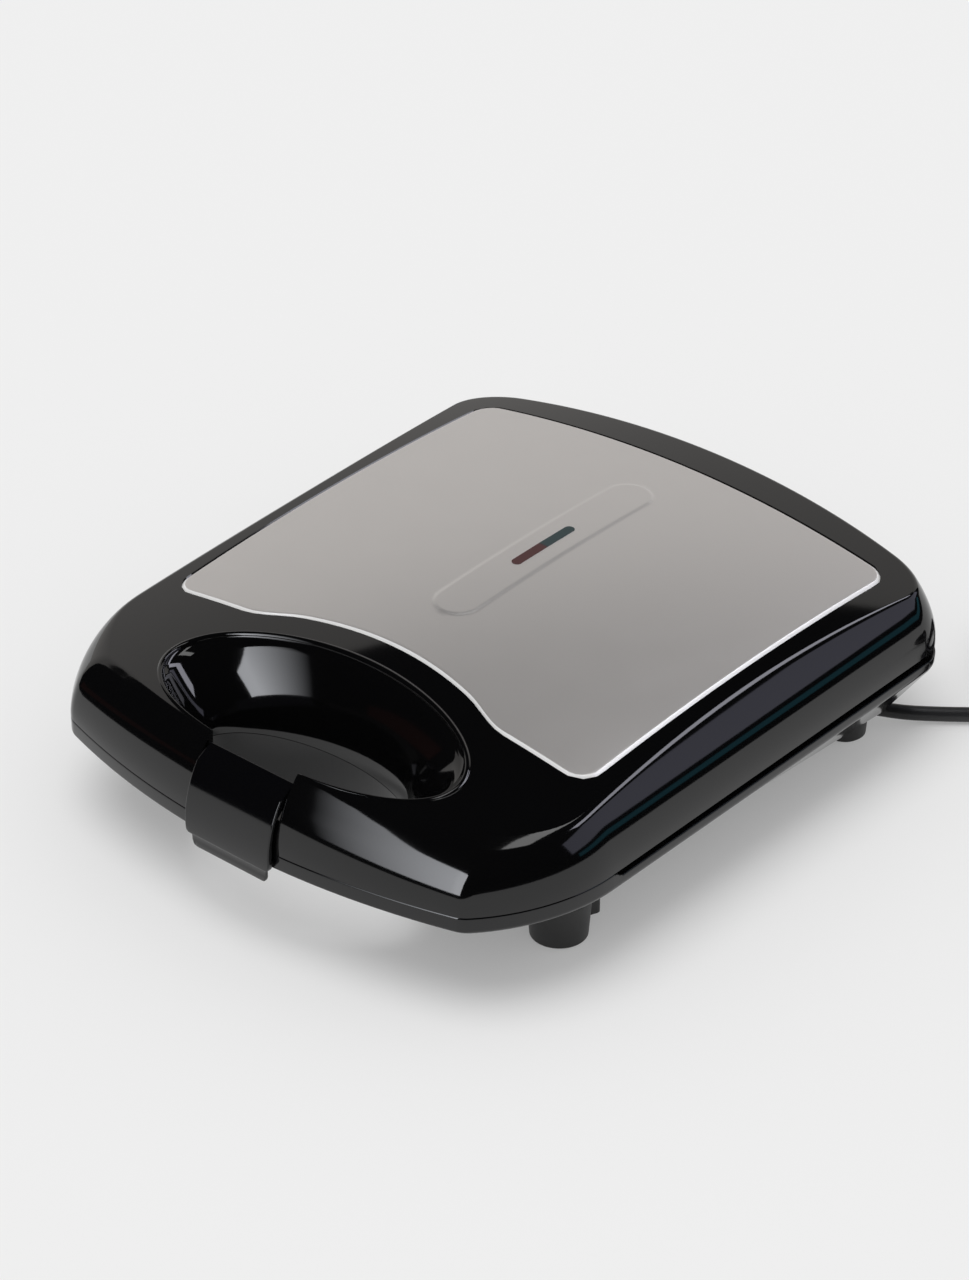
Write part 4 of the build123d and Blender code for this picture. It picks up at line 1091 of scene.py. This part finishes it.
smooth_by_angle(latch_mesh, 40)
latch_clip = show("latch_clip_finished", latch_mesh, ["latch_clip"], "latch", "latch_black")
print("latch", len(latch_mesh.polygons), "faces")

# %% [markdown]
# A black glossy object is lit by what it mirrors. The table and an even sky give the plain soft
# light, and a few glowing cards stand where the photograph shows their reflections: only the
# gloss sees them. Between the cards the gloss sees a dark room, so the moulding stays black.

# %% Cards that the gloss mirrors
def heading(azimuth, elevation, distance):
    """A place around the object, by its compass angle from +X and its height angle."""
    a, e = math.radians(azimuth), math.radians(elevation)
    return Vector((math.cos(a) * math.cos(e), math.sin(a) * math.cos(e), math.sin(e))) * distance


def card(name, azimuth, elevation, wide, high, colour, strength, fade=None, away=2.6):
    """A glowing card, sized in degrees as seen from the object. It can brighten between two X values."""
    centre = heading(azimuth, elevation, away)
    work = bmesh.new()
    bmesh.ops.create_grid(work, x_segments=1, y_segments=1, size=0.5)
    size = [2 * away * math.tan(math.radians(angle / 2)) for angle in (wide, high)]
    bmesh.ops.scale(work, vec=(*size, 1), verts=work.verts)
    turn = (-centre).to_track_quat("Z", "Y").to_matrix().to_4x4()
    bmesh.ops.transform(work, matrix=Matrix.Translation(centre) @ turn, verts=work.verts)
    mesh = bpy.data.meshes.new(name)
    work.to_mesh(mesh)
    work.free()
    panel = add(name, mesh)
    glow = bpy.data.materials.new(name)
    glow.use_nodes = True
    tree = glow.node_tree
    tree.nodes.clear()
    out = node_of(tree, "OutputMaterial", {})
    light = node_of(tree, "Emission", {"Color": (*colour, 1), "Strength": strength})
    join(light, "Emission", out, "Surface")
    if fade:
        where = node_of(tree, "TexCoord", {})
        split = node_of(tree, "SeparateXYZ", {})
        ramp = node_of(tree, "MapRange", {"From Min": fade[0], "From Max": fade[1], "To Max": strength})
        join(where, "Object", split, 0)
        join(split, "X", ramp, "Value")
        join(ramp, "Result", light, "Strength")
    mesh.materials.append(glow)
    panel.visible_camera = False
    panel.visible_diffuse = False
    panel.visible_shadow = False
    return panel


card("pale_wall", 135, 20, 95, 40, (1.0, 0.97, 0.94), 0.55)
card("crease_light", 53, 41, 46, 11, (0.88, 0.88, 1.0), 5.0)
card("side_glow", 45, 20, 64, 14, (0.8, 0.8, 1.0), 0.9)
card("teal_streak", 42, 8, 52, 3.5, (0.12, 0.5, 0.65), 0.6)
card("front_softbox", 266, 23, 31, 34, (0.93, 0.95, 1.0), 8.0, fade=(-0.9, 0.2))
card("top_light", 45, 74, 40, 9, (1.0, 1.0, 1.0), 3.0)
card("warm_wall", 215, 10, 34, 5, (0.9, 0.35, 0.3), 0.06)

# %% [markdown]
# The table takes a real shadow, and shows some of its own even grey to the camera and to the
# gloss, so that it meets the backdrop without a line.

# %% Table
BACKDROP_GREY = (0.847, 0.847, 0.847, 1)
OWN_LIGHT = 0.3              # share of the table that is its own grey

floor_work = bmesh.new()
bmesh.ops.create_grid(floor_work, x_segments=1, y_segments=1, size=15)
table = add("table", as_mesh(floor_work, "table"))
table_paint = bpy.data.materials.new("table_paint")
table_paint.use_nodes = True
tree = table_paint.node_tree
paint = tree.nodes["Principled BSDF"]
paint.inputs["Base Color"].default_value = (0.87, 0.87, 0.87, 1)
paint.inputs["Roughness"].default_value = 0.9
paint.inputs["Specular IOR Level"].default_value = 0.0
glow = node_of(tree, "Emission", {"Color": BACKDROP_GREY, "Strength": 1.0})
seen = node_of(tree, "LightPath", {})
mirrored = node_of(tree, "Math", {})
through = node_of(tree, "Math", {})
share = node_of(tree, "Math", {1: OWN_LIGHT})
share.operation = "MULTIPLY"
blend = node_of(tree, "MixShader", {})
join(seen, "Is Camera Ray", mirrored, 0)
join(seen, "Is Glossy Ray", mirrored, 1)
join(mirrored, 0, through, 0)
join(seen, "Is Transmission Ray", through, 1)
join(through, 0, share, 0)
join(share, 0, blend, 0)
join(paint, 0, blend, 1)
join(glow, 0, blend, 2)
join(blend, 0, tree.nodes["Material Output"], "Surface")
table.data.materials.append(table_paint)

# %% [markdown]
# The world answers each ray in its own way: an even white for plain light, a nearly dark room
# for the gloss, and the backdrop's grey for the camera. A wide soft sun adds the shadow.

# %% Sky and sun
world = bpy.data.worlds.new("studio")
bpy.context.scene.world = world
world.use_nodes = True
tree = world.node_tree
seen = node_of(tree, "LightPath", {})
even = tree.nodes["Background"]
even.inputs["Color"].default_value = (1, 1, 1, 1)
even.inputs["Strength"].default_value = 0.6
room = node_of(tree, "Background", {"Color": (0.008, 0.008, 0.009, 1)})
backdrop = node_of(tree, "Background", {"Color": BACKDROP_GREY})
in_gloss = node_of(tree, "MixShader", {})
in_view = node_of(tree, "MixShader", {})
join(seen, "Is Glossy Ray", in_gloss, 0)
join(even, 0, in_gloss, 1)
join(room, 0, in_gloss, 2)
join(seen, "Is Camera Ray", in_view, 0)
join(in_gloss, 0, in_view, 1)
join(backdrop, 0, in_view, 2)
join(in_view, 0, tree.nodes["World Output"], "Surface")

sun = add("soft_sun", bpy.data.lights.new("soft_sun", "SUN"))
sun.data.energy = 1.3
sun.data.angle = math.radians(45)
sun.rotation_euler = (math.radians(9), math.radians(-5), 0)
sun.visible_glossy = False
bpy.context.scene.view_settings.view_transform = "Standard"
